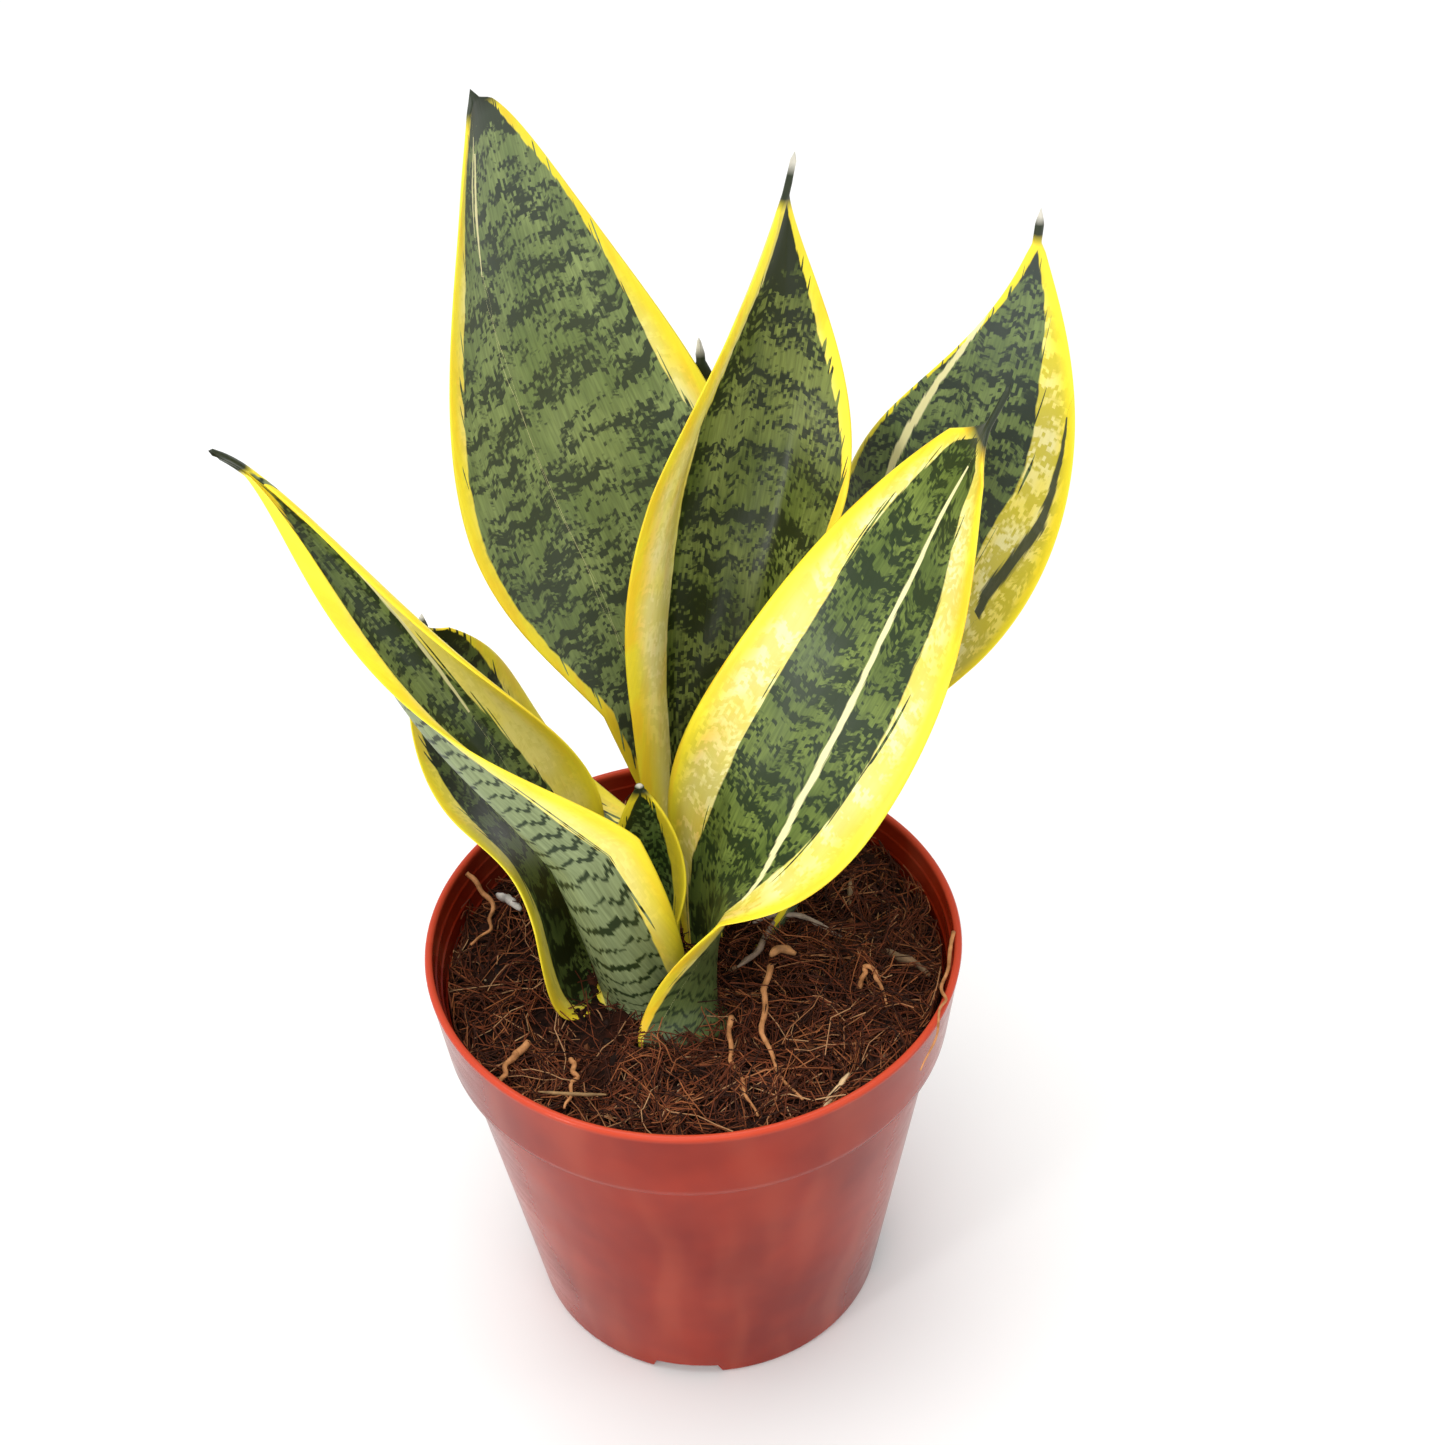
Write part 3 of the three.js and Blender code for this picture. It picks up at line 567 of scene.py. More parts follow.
def inside_pot(n, pieces, reach):
    """Pulls a geometry back where it would pass through the pot wall."""
    place = n("position")
    away = n("vector_length", n("vector_times", place, (1, 1, 0)))
    keep = n("least", n("over", reach, away), 1.0)
    return n("GeometryNodeSetPosition", Geometry=pieces,
             Position=n("vector_times", place, n("join", keep, keep, 1.0)))


def end_tree(n, pieces, material):
    """Ends a tree with real geometry in one material."""
    made = n("GeometryNodeSetMaterial", Geometry=n("realized", pieces), Material=material)
    n("NodeGroupOutput", made, out=None)


def fibre_tree(material, seed, sizes):
    """Loose fibres: short lines on the surface, bent by noise, kept inside the pot, and given a thickness."""
    tree, n, given, points = litter_tree("loose fibres", seed, sizes)
    line = n("GeometryNodeCurvePrimitiveLine", Start=(-0.5, 0, 0), End=(0.5, 0, 0))
    line = n("GeometryNodeResampleCurve", Curve=line, Count=8, mode="COUNT")
    reach = n("times", n("power", n("random", 0.25, 1.0, seed + 1), 1.8), given["Length"])
    yaw = n("random", 0.0, 2 * math.pi, seed + 2)
    tilt = n("random", -0.28, 0.28, seed + 3)
    put = n("instances", points, line, n("join", 0.0, tilt, yaw), n("join", reach, reach, reach))
    put = n("stored", put, "tone", n("random", 0.0, 1.0, seed + 4))
    put = n("stored", put, "thick", n("random", 0.45, 1.3, seed + 5))
    bend = n("vector_minus", n("noise_vector", n("position"), 1 / (9 * MM), 1.5), (0.5, 0.5, 0.38))
    strands = n("moved", n("realized", put), n("vector_scaled", bend, given["Bend"]))
    strands = inside_pot(n, strands, given["Reach"])
    # thinner towards both ends
    taper = n("sine", n("times", n("GeometryNodeSplineParameter"), math.pi))
    own = n("GeometryNodeInputNamedAttribute", Name="thick", data_type="FLOAT")
    size = n("times", n("times_plus", taper, 0.7, 0.3), own)
    strands = n("GeometryNodeSetCurveRadius", Curve=strands, Radius=size)
    ring = n("GeometryNodeCurvePrimitiveCircle", Resolution=3, Radius=given["Thickness"])
    end_tree(n, n("GeometryNodeCurveToMesh", Curve=strands, Profile_Curve=ring, Fill_Caps=True), material)
    return tree


def crumb_tree(material, seed, sizes):
    """Crumbs of husk: small angular lumps scattered over the surface."""
    tree, n, given, points = litter_tree("husk crumbs", seed, sizes)
    lump = n("GeometryNodeMeshIcoSphere", Radius=1.0, Subdivisions=1)
    size = n("times", n("power", n("random", 0.25, 1.0, seed + 1), 2.2), given["Size"])
    squash = n("random_vector", (0.6, 0.5, 0.35), (1.5, 1.0, 0.8), seed + 2)
    turn = n("random_vector", (0, 0, 0), (1.2, 1.2, 6.28), seed + 3)
    put = n("instances", points, lump, turn, n("vector_scaled", squash, size))
    put = n("stored", put, "tone", n("random", 0.0, 1.0, seed + 4))
    chip = n("vector_minus", n("noise_vector", n("position"), 1 / (0.9 * MM), 1.0), (0.5, 0.5, 0.5))
    lumps = n("moved", n("realized", put), n("vector_scaled", chip, 0.7 * MM))
    end_tree(n, inside_pot(n, lumps, given["Reach"]), material)
    return tree


def grown(name, surface, tree, sizes, slot):
    """Runs a scatter tree over a surface and returns the result as a plain piece."""
    carrier = surface.copy()
    bpy.context.scene.collection.objects.link(carrier)
    modifier = carrier.modifiers.new(name, "NODES")
    modifier.node_group = tree
    for item in tree.interface.items_tree:
        if item.in_out == "INPUT" and item.name in sizes:
            modifier[item.identifier] = sizes[item.name]
    bpy.context.view_layer.update()
    piece = baked(carrier, name)
    discard(carrier)
    if not piece.data.polygons:
        raise RuntimeError(f"{name} came out empty")
    return settle_in(piece, slot)


# ---- tubes -----------------------------------------------------------------------------------
def smooth_path(points, steps):
    """Points along a Catmull-Rom curve through the given ones."""
    p = [np.array(q, float) for q in points]
    p = [2 * p[0] - p[1], *p, 2 * p[-1] - p[-2]]
    out = []
    for before, start, end, after in zip(p, p[1:], p[2:], p[3:]):
        for t in np.linspace(0, 1, steps, endpoint=False):
            bow = (2 * before - 5 * start + 4 * end - after) * t ** 2
            twist = (3 * start - before - 3 * end + after) * t ** 3
            out.append(0.5 * (2 * start + (end - before) * t + bow + twist))
    return np.array(out + [p[-2]])


def tube(path, radius, sides, wobble=0.0, phase=0.0):
    """Points and faces of a closed tube along a path; radius is one number or one for each point."""
    ahead = np.gradient(path, axis=0)
    ahead /= np.linalg.norm(ahead, axis=1)[:, None]
    first = np.cross(ahead, (0.13, 0.21, 0.97))
    first /= np.linalg.norm(first, axis=1)[:, None]
    second = np.cross(ahead, first)
    radius = np.broadcast_to(radius, len(path))
    angle = np.arange(sides) * 2 * np.pi / sides
    points = []
    for i, centre in enumerate(path):
        bump = np.array([noise.noise(Vector(centre) / 1.6 + Vector((math.cos(a), math.sin(a), phase)))
                         for a in angle])
        r = radius[i] * (1 + wobble * bump)
        points.append(centre + (r * np.cos(angle))[:, None] * first[i]
                      + (r * np.sin(angle))[:, None] * second[i])
    faces = quads(len(path), sides)
    faces += [tuple(range(sides)), tuple((len(path) - 1) * sides + k for k in range(sides))]
    return np.concatenate(points), faces


def root_material(name, shade, tint):
    """Dried root, papery skin: matt tan with darker blotches and a fine bumpy grain."""
    material, n, link = new_material(name, 0.78)
    place = n("place")
    blot = n("noise", place, 1 / (2.2 * MM), 3.0)
    fine = n("noise", place, 1 / (0.5 * MM), 2.0)
    link(Base_Color=n("blend", n("range", blot, 0.35, 0.7), shade, tint),
         Normal=n("bump", 0.5, 0.15 * MM, fine))
    return material


# ---- leaves ----------------------------------------------------------------------------------
def along(values, t):
    """A value given at the soil, halfway and at the tip, read smoothly in between."""
    a, b, c = values
    return a * (1 - t) * (1 - 2 * t) + 4 * b * t * (1 - t) + c * t * (2 * t - 1)


def bezier(points, t):
    """Points of a Bezier curve at each t, from its control points."""
    row = [np.array(p, float)[None, :] + 0 * t[:, None] for p in points]
    while len(row) > 1:
        row = [a + (b - a) * t[:, None] for a, b in zip(row, row[1:])]
    return row[0]


def blade_width(leaf, t):
    """Half widths of the blade, left and right, over its widest, at places t along the leaf."""
    s = np.minimum(1, t / leaf["spine_start"])[:, None]
    base = np.array(leaf["base"])
    low = base + (1 - base) * np.sin(np.pi / 2 * np.minimum(1, s / leaf["widest"])) ** 1.5
    far = np.clip((s - leaf["widest"]) / (1 - leaf["widest"]), 0, 1)
    full = np.where(s < leaf["widest"], low, np.maximum(0, 1 - far ** 1.7) ** leaf["taper"])
    return full * np.clip((1 - s) / max(1e-6, 1 - leaf["point"]), 0, 1) ** 0.75


def leaf_frame(leaf, t):
    """Centre line, forward, sideways and inner-face directions along a leaf."""
    step = 0.005
    centre = bezier(leaf["spine"], t)
    ahead = bezier(leaf["spine"], np.minimum(1, t + step)) - bezier(leaf["spine"], np.maximum(0, t - step))
    ahead /= np.linalg.norm(ahead, axis=1)[:, None]
    look = np.radians(along(leaf["face"], t))
    side = np.cross(np.stack([np.cos(look), np.sin(look), 0 * look], 1), ahead)
    side /= np.linalg.norm(side, axis=1)[:, None]
    return centre, side, np.cross(ahead, side)


def leaf_sheet(leaf, t, u, layer, thickness):
    """Points of one face of a leaf in mm, shape (t, u, 3), and the flat half width there, shape (t, u)."""
    centre, side, inward = (v[:, None, :] for v in leaf_frame(leaf, t))
    left = u > 0
    hand = np.sign(u) + (u == 0)
    curl = np.radians(np.where(left, along(leaf["curl_left"], t)[:, None],
                               along(leaf["curl_right"], t)[:, None]))
    widest = np.where(left, *leaf["half_width"])
    spine_width = np.minimum(SPINE_RADIUS, SPINE_RADIUS * (1 - t) / (1 - leaf["spine_start"]))[:, None]
    share = blade_width(leaf, t)
    width = np.maximum(widest * np.where(left, share[:, :1], share[:, 1:]), spine_width)
    size = np.abs(u)
    bend = curl * size
    half = 0.5 * thickness * (1 - TIP_THINNING * t[:, None]) * (1 - MARGIN_THINNING * u * u)
    half = half * np.sqrt(np.maximum(0, 1 - size ** 22)) * layer
    across = width / curl * np.sin(bend) * hand - half * np.sin(bend) * hand
    up = width / curl * (1 - np.cos(bend)) + half * np.cos(bend)
    # the margin leans out again where the surface swings in before it
    swing = np.sin(np.pi * np.clip((size - 0.4) / 0.6, 0, 1)) * np.where(left, *leaf.get("flare", (0, 0)))
    swing = swing * np.sin(np.pi * np.clip(t * 1.08, 0, 1))[:, None] ** 0.6
    across = across - swing * np.sin(bend) * hand
    up = up + swing * np.cos(bend)
    points = centre + side * across[..., None] + inward * up[..., None]
    settle = np.maximum(0, 1 - t / SETTLE)[:, None]
    points[..., 2] += (leaf["spine"][0][2] - points[..., 2]) * settle
    return points, width


def streak(leaf, key, t, across):
    """Signed distance from a lengthwise streak, in its own half widths; far away where there is none."""
    if key not in leaf:
        return np.full(across.shape, 50.0)
    place, middle, half = np.array(leaf[key], float).T
    half = np.interp(t, place, half, left=0.01, right=0.01)
    return np.clip((across - np.interp(t, place, middle)[:, None]) / half[:, None], -50, 50)


def eased(leaf, key, t):
    """Width of a margin band along the leaf, mm, with its corners rounded."""
    place, width = np.array(leaf[key], float).T
    raw = np.interp(np.concatenate([np.full(6, t[0]), t, np.full(6, t[-1])]), place, width)
    return np.convolve(raw, np.ones(13) / 13, "valid")


def leaf_mesh(leaf, rows, columns, thickness, seed):
    """Points, faces and pattern attributes of one leaf with rounded margins and closed ends."""
    t = 0.99 * (1 - (1 - np.linspace(0, 1, rows)) ** 1.25)
    s = np.linspace(1, -1, columns + 1)
    u = s * (1 + 0.35 * (1 - s * s))
    loop = np.concatenate([u, u[-2:0:-1]])
    inner = np.concatenate([np.ones(columns + 1), np.zeros(columns - 1)])
    inside, width = leaf_sheet(leaf, t, u, 1, thickness)
    outside, _ = leaf_sheet(leaf, t, u[-2:0:-1], -1, thickness)
    points = np.concatenate([inside, outside], 1)
    width = np.where(loop > 0, width[:, :1], width[:, columns:columns + 1])
    centre = bezier(leaf["spine"], t)
    length = np.concatenate([[0], np.cumsum(np.linalg.norm(np.diff(centre, axis=0), axis=1))])
    full = length[-1] + np.linalg.norm(np.array(leaf["spine"][-1]) - centre[-1])
    # slow swelling and dips over the blade
    swell = np.array([[noise.noise(Vector((a * w / 11, b / 17, seed))) for a, w in zip(loop, row)]
                      for row, b in zip(width, length)])
    _, _, inward = leaf_frame(leaf, t)
    swell *= SWELL_HEIGHT * (1 - loop ** 6) * np.clip(t * 6, 0, 1)[:, None]
    points += inward[:, None, :] * swell[..., None]
    across = loop * width
    band = np.where(loop > 0, eased(leaf, "band_left", t)[:, None], eased(leaf, "band_right", t)[:, None])
    edge = width * (1 - np.abs(loop))
    still = 0 * across
    # pattern fields, each with its value at the very tip
    fields = {
        "blade": ([across, still + length[:, None], still + inner], (0, full, 0.5)),
        "margin": ([band - edge, edge, still + (full - length)[:, None]], (-5, 5, 0)),
        "lines": ([streak(leaf, key, t, across) for key in ("cream", "ink", "thread")], (50, 50, 50))}
    for key, (values, last) in fields.items():
        values = np.stack(values, 2)
        fields[key] = np.concatenate([values[0], values.reshape(-1, 3), [last]])
    # the foot goes on down into the soil
    foot = points[:1].copy()
    foot[..., 2] -= FOOT_DEPTH
    tip = np.array([leaf["spine"][-1]], float)
    count = loop.size
    all_points = np.concatenate([foot.reshape(-1, 3), points.reshape(-1, 3), tip])
    faces = quads(rows + 1, count)
    faces.append(tuple(range(count - 1, -1, -1)))
    end = len(all_points) - 1
    faces += [(rows * count + i, rows * count + (i + 1) % count, end) for i in range(count)]
    return all_points, faces, fields


def leaf_material(name, look, colours, seed):
    """Snake plant leaf, waxed cuticle: crossbands of fine cells under a satin wax, and a yellow margin."""
    material, n, link = new_material(name, 0.4, IOR=1.45, Coat_Weight=0.04, Coat_Roughness=0.25,
                                     Specular_IOR_Level=0.36)
    (u, v, inner), (rim, edge, tip), lines = (
        n("parts", n("ShaderNodeAttribute", attribute_name=key, out="Vector")).outputs
        for key in ("blade", "margin", "lines"))
    dark = linear(look["dark"])

    def patches(across, along_leaf, detail=2.0, shift=0.0):
        """Noise drawn out over the blade, with patches so many mm across and along it."""
        return n("noise", n("join", n("over", u, across), n("over", v, along_leaf), seed + shift), 1.0, detail)

    # columns of cells, each slid along the leaf, so that the crossbands are ragged
    column = n("floor", n("over", u, CELL_WIDTH))
    slide = n("ShaderNodeTexWhiteNoise", W=n("plus", column, seed), noise_dimensions="1D")
    drift = n("ShaderNodeTexNoise", W=n("times_plus", u, 1 / 5.5, seed), Scale=1.0, Detail=1.0,
              noise_dimensions="1D")
    height = n("times_plus", slide, 1.7, v)
    height = n("times_plus", drift, 4.5, height)
    bands = n("noise", n("join", n("over", u, look["bands_wide"]), n("over", height, look["bands_high"]), seed),
              1.0, 2.0, 0.55)
    cell = n("ShaderNodeTexWhiteNoise",
             Vector=n("join", column, n("floor", n("over", height, CELL_HEIGHT)), seed),
             noise_dimensions="3D")
    mottle = n("times_plus", cell, 0.2, bands)
    mottle = n("minus", mottle, n("eased_range", tip, look["tip_dark"] * 0.4, look["tip_dark"] * 1.6, 0.3, 0.0))
    light = n("range", mottle, look["shade"] - 0.03, look["shade"] + 0.045)
    # the back carries thin wavy lines across a paler ground
    wave = n("fraction", n("over", height, BACK_LINE_SPACING))
    wave = n("size", n("minus", wave, 0.5))
    broken = patches(7.0, 5.0)
    wave = n("times_plus", broken, 0.45, wave)
    ground = n("range", wave, 0.28, 0.4)
    back = n("times", n("minus", 1.0, inner), look["lines"])
    light = n("between", back, light, ground)

    # pale cells vary from grey-green to a fresher green, dark ones a little
    cloud = patches(9.0, 16.0)
    pale = n("blend", n("range", cloud, 0.38, 0.66), linear(look["pale"]), linear(look["bright"]))
    pale = n("blend", back, pale, linear(look["back"]))
    green = n("blend", light, dark, pale)
    # lengthwise dashes, 0.45 mm apart and 6 mm long
    dash = patches(0.45, 6.0, 1.0)
    green = n("blend", n("range", dash, 0.3, 0.7, 0.0, 0.42), green, dark)

    # margin: bright at the rim, cream inside, with orange patches and greenish blotches
    patch = patches(3.5, 17.0, 3.0, 4)
    yellow = n("blend", n("range", patch, 0.45, 0.62, 0.0, look["orange"]), colours.yellow, colours.orange)
    depth = n("eased_range", edge, 1.2, 5.5, 0.0, look["cream"])
    worn = n("range", cloud, 0.35, 0.6, 0.35, 1.0)
    yellow = n("blend", n("times", depth, worn), yellow, colours.cream)
    blotch = n("times", n("range", mottle, look["shade"] - 0.02, look["shade"] + 0.08, look["blotch"], 0.0),
               n("range", edge, 0.8, 3.0))
    yellow = n("blend", blotch, yellow, colours.olive)
    yellow = n("blend", n("range", dash, 0.45, 0.75, 0.0, 0.12), yellow, colours.olive)

    # where green meets yellow the line steps a little, and green threads run into the margin
    ragged = n("times_plus", n("minus", slide, 0.5), 0.3, rim)
    ragged = n("times_plus", n("minus", broken, 0.5), 0.9, ragged)
    threads = patches(0.7, 34.0, 1.0, 8)
    threads = n("times", n("range", threads, 0.6, 0.68), n("range", rim, 0.2, 2.6, 3.0, 0.0))
    banded = n("range", n("minus", ragged, threads), -0.14, 0.14)
    skin = n("blend", banded, green, yellow)
    for line, colour, strength in zip(lines, (colours.cream, dark, colours.cream), (0.9, 0.95, 0.8)):
        away = n("minus", n("times_plus", dash, 1.2, n("size", line)), 0.6)
        skin = n("blend", n("range", away, 0.75, 1.15, strength, 0.0), skin, colour)
    # the spine is dark, and on some leaves its end has dried pale
    skin = n("blend", n("range", tip, look["spine"], look["spine"] + 2.5, 1.0, 0.0), skin, linear("2A3220"))
    if look["pale_tip"]:
        dried = n("range", tip, look["pale_tip"] * 0.6, look["pale_tip"] * 1.3, 0.85, 0.0)
        skin = n("blend", dried, skin, linear("D8D3C4"))
    # satin wax, a little duller in patches, over fine ribs and slightly raised pale cells
    relief = n("times_plus", light, 0.25, patches(0.9, 22.0))
    link(Base_Color=skin, Roughness=n("range", cloud, 0.3, 0.7, 0.33, 0.48),
         Normal=n("bump", 0.35, 0.12 * MM, relief))
    return material


# ---- settings a user would change --------------------------------------------------------------
def length_value(name, text, default, low=0.0):
    return bpy.props.FloatProperty(name=name, description=text, default=default, min=low, unit="LENGTH",
                                   subtype="DISTANCE", precision=5)


def colour_value(name, text, code):
    return bpy.props.FloatVectorProperty(name=name, description=text, default=linear(code), size=4, min=0,
                                         max=1, subtype="COLOR")


class PotSettings(bpy.types.PropertyGroup):
    height: length_value("Height", "From the table to the top of the lip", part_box("pot")[1].z)
    rim_radius: length_value("Rim radius", "Outside radius at the lip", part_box("pot")[1].x)
    wall: length_value("Wall", "Thickness of the moulded wall", 1.3 * MM)
    segments: bpy.props.IntProperty(name="Segments", description="Steps round the pot", default=176, min=24,
                                    max=512)
    colour: colour_value("Colour", "Main colour of the plastic", "90250D")
    colour_deep: colour_value("Deep colour", "Colour of the cloudy patches", "741809")
    # painted reflection: colour of the paler upright streaks painted into the wall
    colour_reflection_streaks: colour_value("Reflection streak colour", "Colour of the painted reflection streaks", "B0533A")
    # painted highlight: brighter colour painted along the top of the lip
    colour_lip_highlight: colour_value("Lip highlight colour", "Colour of the painted highlight along the lip", "D44E34")


class SoilSettings(bpy.types.PropertyGroup):
    crumble: length_value("Crumble", "Height of the lumps on the surface", 1.5 * MM)
    colour: colour_value("Colour", "Main brown", "371B10")
    # painted shade: dark brown of the grain's low spots, partly the coir's own darker grains and partly painted
    # shade in the hollows
    colour_dark: colour_value("Dark colour", "Dark grains, with painted shade in the hollows", "100703")
    colour_red: colour_value("Red colour", "Fresh husk dust", "54240F")


class LitterSettings(bpy.types.PropertyGroup):
    fibre_length: length_value("Fibre length", "Longest loose fibre", 36 * MM)
    fibre_thickness: length_value("Fibre thickness", "Half thickness of a fibre", 0.14 * MM)
    fibre_density: bpy.props.FloatProperty(name="Fibre density",
                                           description="Fibres for each square metre of surface",
                                           default=520000, min=0)
    crumb_size: length_value("Crumb size", "Largest crumb's half size", 1.5 * MM)
    crumb_density: bpy.props.FloatProperty(name="Crumb density",
                                           description="Crumbs for each square metre of surface",
                                           default=360000, min=0)


class RhizomeSettings(bpy.types.PropertyGroup):
    ring_spacing: length_value("Ring spacing", "Distance between the scars round the rhizome", 4.2 * MM)
    colour: colour_value("Colour", "Skin of the rhizome", "B9A070")


class LeafSettings(bpy.types.PropertyGroup):
    thickness: length_value("Thickness", "Thickness of a blade at the soil", 2.1 * MM)
    rows: bpy.props.IntProperty(name="Rows", description="Steps along a leaf", default=170, min=20, max=400)
    columns: bpy.props.IntProperty(name="Columns", description="Steps across one face of a leaf", default=46,
                                   min=8, max=120)
    yellow: colour_value("Yellow", "Rim of the margins", "FFEA38")
    orange: colour_value("Orange", "Warm patches in the margins", "FFC92A")
    cream: colour_value("Cream", "Inner part of the margins", "F8F0B4")
    olive: colour_value("Olive", "Blotches in the margins", "CDBE2C")


class RootSettings(bpy.types.PropertyGroup):
    sides: bpy.props.IntProperty(name="Sides", description="Steps round a root", default=9, min=3, max=32)
    colour: colour_value("Colour", "Dry root skin", "D0905A")
    colour_dark: colour_value("Dark colour", "Older skin", "96602F")


class StageSettings(bpy.types.PropertyGroup):
    floor_size: length_value("Floor size", "Side of the floor", 8.0)
    floor_colour: colour_value("Floor colour", "Pale studio floor", "F7F7F5")


# ---- one operator for each piece ---------------------------------------------------------------
class SNAKEPLANT_OT_pot(bpy.types.Operator):
    """Turn the pot, cut its drainage and give it its plastic"""
    bl_idname = "snakeplant.pot"
    bl_label = "Pot"

    def execute(self, context):
        pot = context.scene.snake_plant_pot
        points, faces = lathe_points(pot_profile(pot), pot.segments)
        blank = mesh_piece("pot_blank", points, faces, pot_material(pot))
        cutters = drain_cutters()
        for cutter in cutters:
            cut = blank.modifiers.new(cutter.name, "BOOLEAN")
            cut.operation, cut.solver, cut.object = "DIFFERENCE", "EXACT", cutter
        context.view_layer.update()
        piece = baked(blank, "nursery_pot")
        discard(blank, *cutters)
        while len(piece.data.materials) > 1:
            piece.data.materials.pop()
        piece.data.set_sharp_from_angle(angle=math.radians(CREASE_ANGLE))
        settle_in(piece, "pot", "pot")
        return {"FINISHED"}


class SNAKEPLANT_OT_soil(bpy.types.Operator):
    """Fill the pot with coir soil"""
    bl_idname = "snakeplant.soil"
    bl_label = "Soil"

    def execute(self, context):
        scene = context.scene
        points, faces, litter = soil_mesh(scene.snake_plant_soil, scene.snake_plant_pot)
        piece = mesh_piece("coir_soil", points, faces, soil_material(scene.snake_plant_soil),
                           {"litter": litter})
        settle_in(piece, "soil", "soil")
        return {"FINISHED"}


class SNAKEPLANT_OT_litter(bpy.types.Operator):
    """Scatter loose fibres and husk crumbs over the soil"""
    bl_idname = "snakeplant.litter"
    bl_label = "Litter"

    def execute(self, context):
        litter = context.scene.snake_plant_litter
        surface = bpy.data.objects["coir_soil"]
        fibre = litter_material("coir fibre, torn",
                                ((0.0, "2A140B"), (0.4, "552A17"), (0.75, "854325"), (0.93, "AE6A3E"),
                                 (1.0, "D8A878")), 0.25)
        crumb = litter_material("coir husk, crumbled",
                                ((0.0, "120805"), (0.5, "2A140B"), (0.85, "4A2413"), (0.975, "7A4A2A"),
                                 (1.0, "D8BE98")), 0.2)
        reach = {"Reach": (inner_radius(86.0, context.scene.snake_plant_pot) - 0.8) * MM}
        sizes = {"Density": litter.fibre_density, "Length": litter.fibre_length, "Bend": FIBRE_BEND * MM,
                 "Thickness": litter.fibre_thickness, **reach}
        grown("loose_fibres", surface, fibre_tree(fibre, 11, sizes), sizes, "soil")
        sizes = {"Density": litter.crumb_density, "Size": litter.crumb_size, **reach}
        grown("husk_crumbs", surface, crumb_tree(crumb, 31, sizes), sizes, "soil")
        return {"FINISHED"}


class SNAKEPLANT_OT_rhizome(bpy.types.Operator):
    """Make the rhizome under the leaves"""
    bl_idname = "snakeplant.rhizome"
    bl_label = "Rhizome"

    def execute(self, context):
        settings = context.scene.snake_plant_rhizome
        (x0, y0), (x1, y1) = RHIZOME["start"], RHIZOME["end"]
        radius = RHIZOME["radius"] - 0.4
        ahead = np.array([x1 - x0, y1 - y0, 0.0])
        length = np.linalg.norm(ahead)
        ahead /= length
        reach = np.linspace(-radius + 0.15, length + radius - 0.15, 90)
        beyond = np.maximum(0, np.maximum(-reach, reach - length))
        girth = np.sqrt(np.maximum(0.1, radius ** 2 - beyond ** 2))
        girth -= 0.35 * np.exp(-(np.mod(reach, settings.ring_spacing / MM) / 0.7) ** 2)
        path = np.array([x0, y0, RHIZOME["z"]]) + reach[:, None] * ahead
        points, faces = tube(path, girth, 40, 0.015)
        skin = root_material("rhizome skin, papery", settings.colour, linear("8C7448"))
        settle_in(mesh_piece("ringed_rhizome", points, faces, skin), "rhizome", "rhizome")
        return {"FINISHED"}


class SNAKEPLANT_OT_leaves(bpy.types.Operator):
    """Grow the eight leaves"""
    bl_idname = "snakeplant.leaves"
    bl_label = "Leaves"

    def execute(self, context):
        settings = context.scene.snake_plant_leaves
        for i, (node, leaf) in enumerate(LEAVES.items()):
            seed = 3.7 * (i + 1)
            material = leaf_material("snake plant leaf, waxed " + str(i + 1), LOOKS[leaf["look"]], settings,
                                     seed)
            points, faces, fields = leaf_mesh(leaf, settings.rows, settings.columns, settings.thickness / MM,
                                              seed)
            piece = mesh_piece("blade_" + node[5:], points, faces, material, fields)
            settle_in(piece, "leaf", node)
        return {"FINISHED"}


class SNAKEPLANT_OT_roots(bpy.types.Operator):
    """Lay the dry roots over the soil"""
    bl_idname = "snakeplant.roots"
    bl_label = "Roots"

    def execute(self, context):
        settings = context.scene.snake_plant_roots
        skin = root_material("dried root, papery", settings.colour, settings.colour_dark)
        for i, (node, (radius, path)) in enumerate(ROOTS.items()):
            line = smooth_path(path, 16)
            share = np.linspace(0, 1, len(line))
            line = line + 0.5 * np.stack([np.sin(share * 19 + i), np.cos(share * 15 + 2 * i),
                                          0.6 * np.sin(share * 23 + i)], 1) * np.sin(np.pi * share)[:, None]
            girth = radius * (0.95 - 0.55 * share ** 1.5)
            points, faces = tube(line, girth, settings.sides, 0.35, float(i))
            settle_in(mesh_piece("dry_" + node, points, faces, skin), "root", node)
        for i, (name, (code, radius, path)) in enumerate(FINDS.items()):
            line = smooth_path(path, 10)
            girth = radius * (1 - 0.6 * np.abs(np.linspace(-1, 1, len(line))) ** 3)
            points, faces = tube(line, girth, settings.sides, 0.5, 20.0 + i)
            bark = root_material(name.replace("_", " ") + ", dry", linear(code),
                                 tuple((0.45 * c for c in linear(code)[:3])) + (1,))
            settle_in(mesh_piece(name, points, faces, bark), "root")
        return {"FINISHED"}


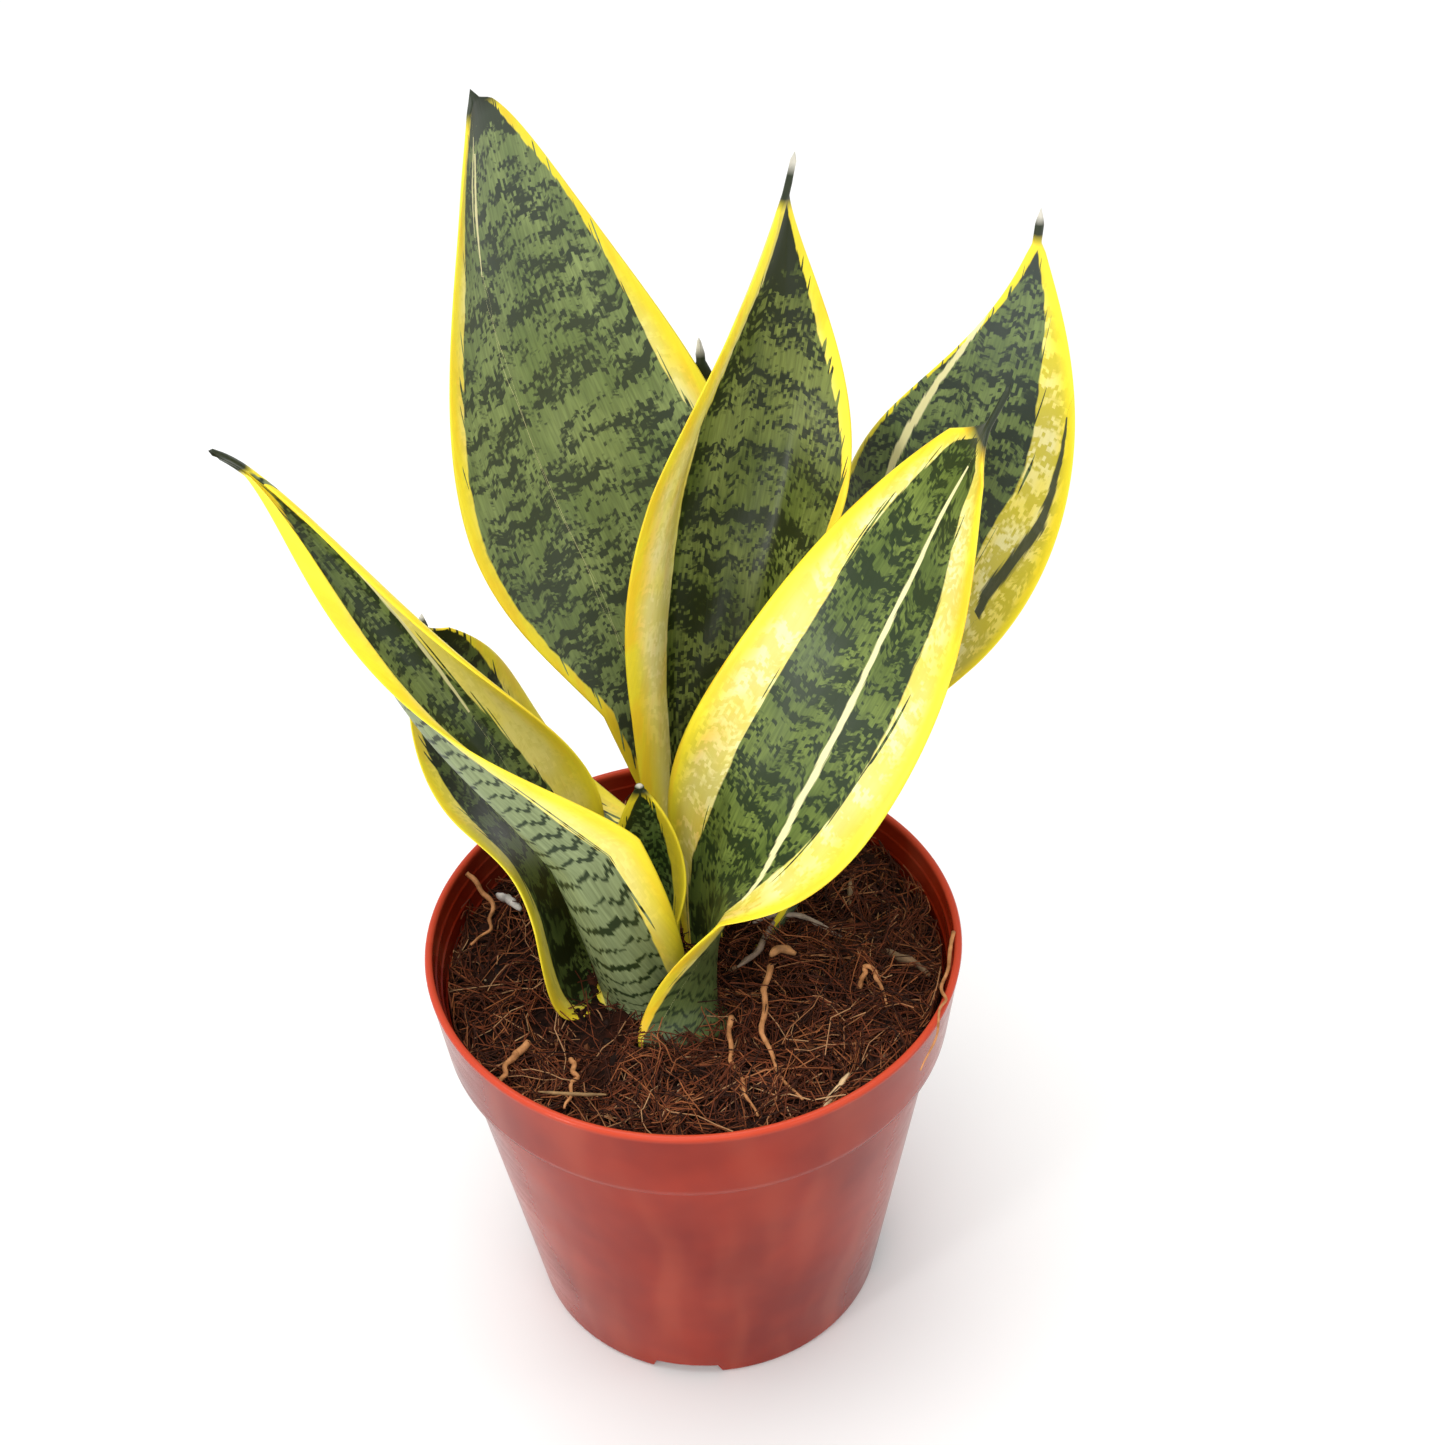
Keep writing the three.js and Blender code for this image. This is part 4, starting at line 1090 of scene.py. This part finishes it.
class SNAKEPLANT_OT_stage(bpy.types.Operator):
    """Set the floor, the soft lights and the camera"""
    bl_idname = "snakeplant.stage"
    bl_label = "Stage"

    def execute(self, context):
        scene, settings = context.scene, context.scene.snake_plant_stage
        half = settings.floor_size / 2 / MM
        paint, n, link = new_material("studio floor, matt paint", 0.9)
        cloud = n("noise", n("place"), 3.0, 1.0)
        link(Base_Color=n("blend", n("range", cloud, 0.0, 1.0, 0.0, 0.02), settings.floor_colour,
                          linear("EDEDEA")))
        corners = [(x * half, y * half, FLOOR_Z) for x, y in ((-1, -1), (1, -1), (1, 1), (-1, 1))]
        floor = mesh_piece("floor", corners, [(0, 1, 2, 3)], paint, smooth=False)

        world = bpy.data.worlds.new("soft studio")
        world.use_nodes = True
        sky = world.node_tree.nodes["Background"].inputs
        sky[0].default_value, sky[1].default_value = linear("FCFDFF"), SKY_STRENGTH
        scene.world = world
        for name, place, (across, up), power in LIGHTS:
            data = bpy.data.lights.new(name, "AREA")
            data.shape, data.size, data.size_y, data.energy = "RECTANGLE", across, up, power
            lamp = bpy.data.objects.new(name, data)
            aim = (Vector(LIGHT_TARGET) - Vector(place)).to_track_quat("-Z", "Y")
            lamp.matrix_world = Matrix.Translation(place) @ aim.to_matrix().to_4x4()
            scene.collection.objects.link(lamp)

        pitch, yaw, roll = (math.radians(CAMERA[key]) for key in ("pitch", "yaw", "roll"))
        ahead = Vector((math.sin(yaw) * math.cos(pitch), math.cos(yaw) * math.cos(pitch), -math.sin(pitch)))
        level = Vector((math.cos(yaw), -math.sin(yaw), 0))
        upright = level.cross(ahead)
        right = math.cos(roll) * level + math.sin(roll) * upright
        above = math.cos(roll) * upright - math.sin(roll) * level
        lens = bpy.data.cameras.new("camera")
        lens.sensor_width, lens.lens, lens.clip_start = CAMERA["sensor"], CAMERA["lens"], 0.01
        camera = bpy.data.objects.new("camera", lens)
        turn = Matrix((right, above, -ahead)).transposed().to_4x4()
        camera.matrix_world = Matrix.Translation(CAMERA["place"]) @ turn
        scene.collection.objects.link(camera)
        scene.camera = camera
        scene.view_settings.view_transform = "Standard"
        return {"FINISHED"}


OPERATORS = (SNAKEPLANT_OT_pot, SNAKEPLANT_OT_soil, SNAKEPLANT_OT_litter, SNAKEPLANT_OT_rhizome,
             SNAKEPLANT_OT_leaves, SNAKEPLANT_OT_roots, SNAKEPLANT_OT_stage)
SETTINGS = {"snake_plant_" + word: group for word, group in (
    ("pot", PotSettings), ("soil", SoilSettings), ("litter", LitterSettings), ("rhizome", RhizomeSettings),
    ("leaves", LeafSettings), ("roots", RootSettings), ("stage", StageSettings))}


class SNAKEPLANT_PT_panel(bpy.types.Panel):
    """Lists the pieces of the plant and their settings"""
    bl_idname = "SNAKEPLANT_PT_panel"
    bl_label = "Potted Snake Plant"
    bl_space_type = "VIEW_3D"
    bl_region_type = "UI"
    bl_category = "Snake Plant"

    def draw(self, context):
        for (key, group), operator in zip(SETTINGS.items(), OPERATORS):
            box = self.layout.box()
            box.operator(operator.bl_idname)
            for name in group.__annotations__:
                box.prop(getattr(context.scene, key), name)


def register():
    for group in SETTINGS.values():
        bpy.utils.register_class(group)
    for key, group in SETTINGS.items():
        setattr(bpy.types.Scene, key, bpy.props.PointerProperty(type=group))
    for kind in (*OPERATORS, SNAKEPLANT_PT_panel):
        bpy.utils.register_class(kind)


def unregister():
    for kind in (SNAKEPLANT_PT_panel, *reversed(OPERATORS)):
        bpy.utils.unregister_class(kind)
    for key, group in SETTINGS.items():
        delattr(bpy.types.Scene, key)
        bpy.utils.unregister_class(group)


def main():
    register()
    for operator in OPERATORS:
        group, name = operator.bl_idname.split(".")
        getattr(getattr(bpy.ops, group), name)()


if __name__ == "__main__":
    main()
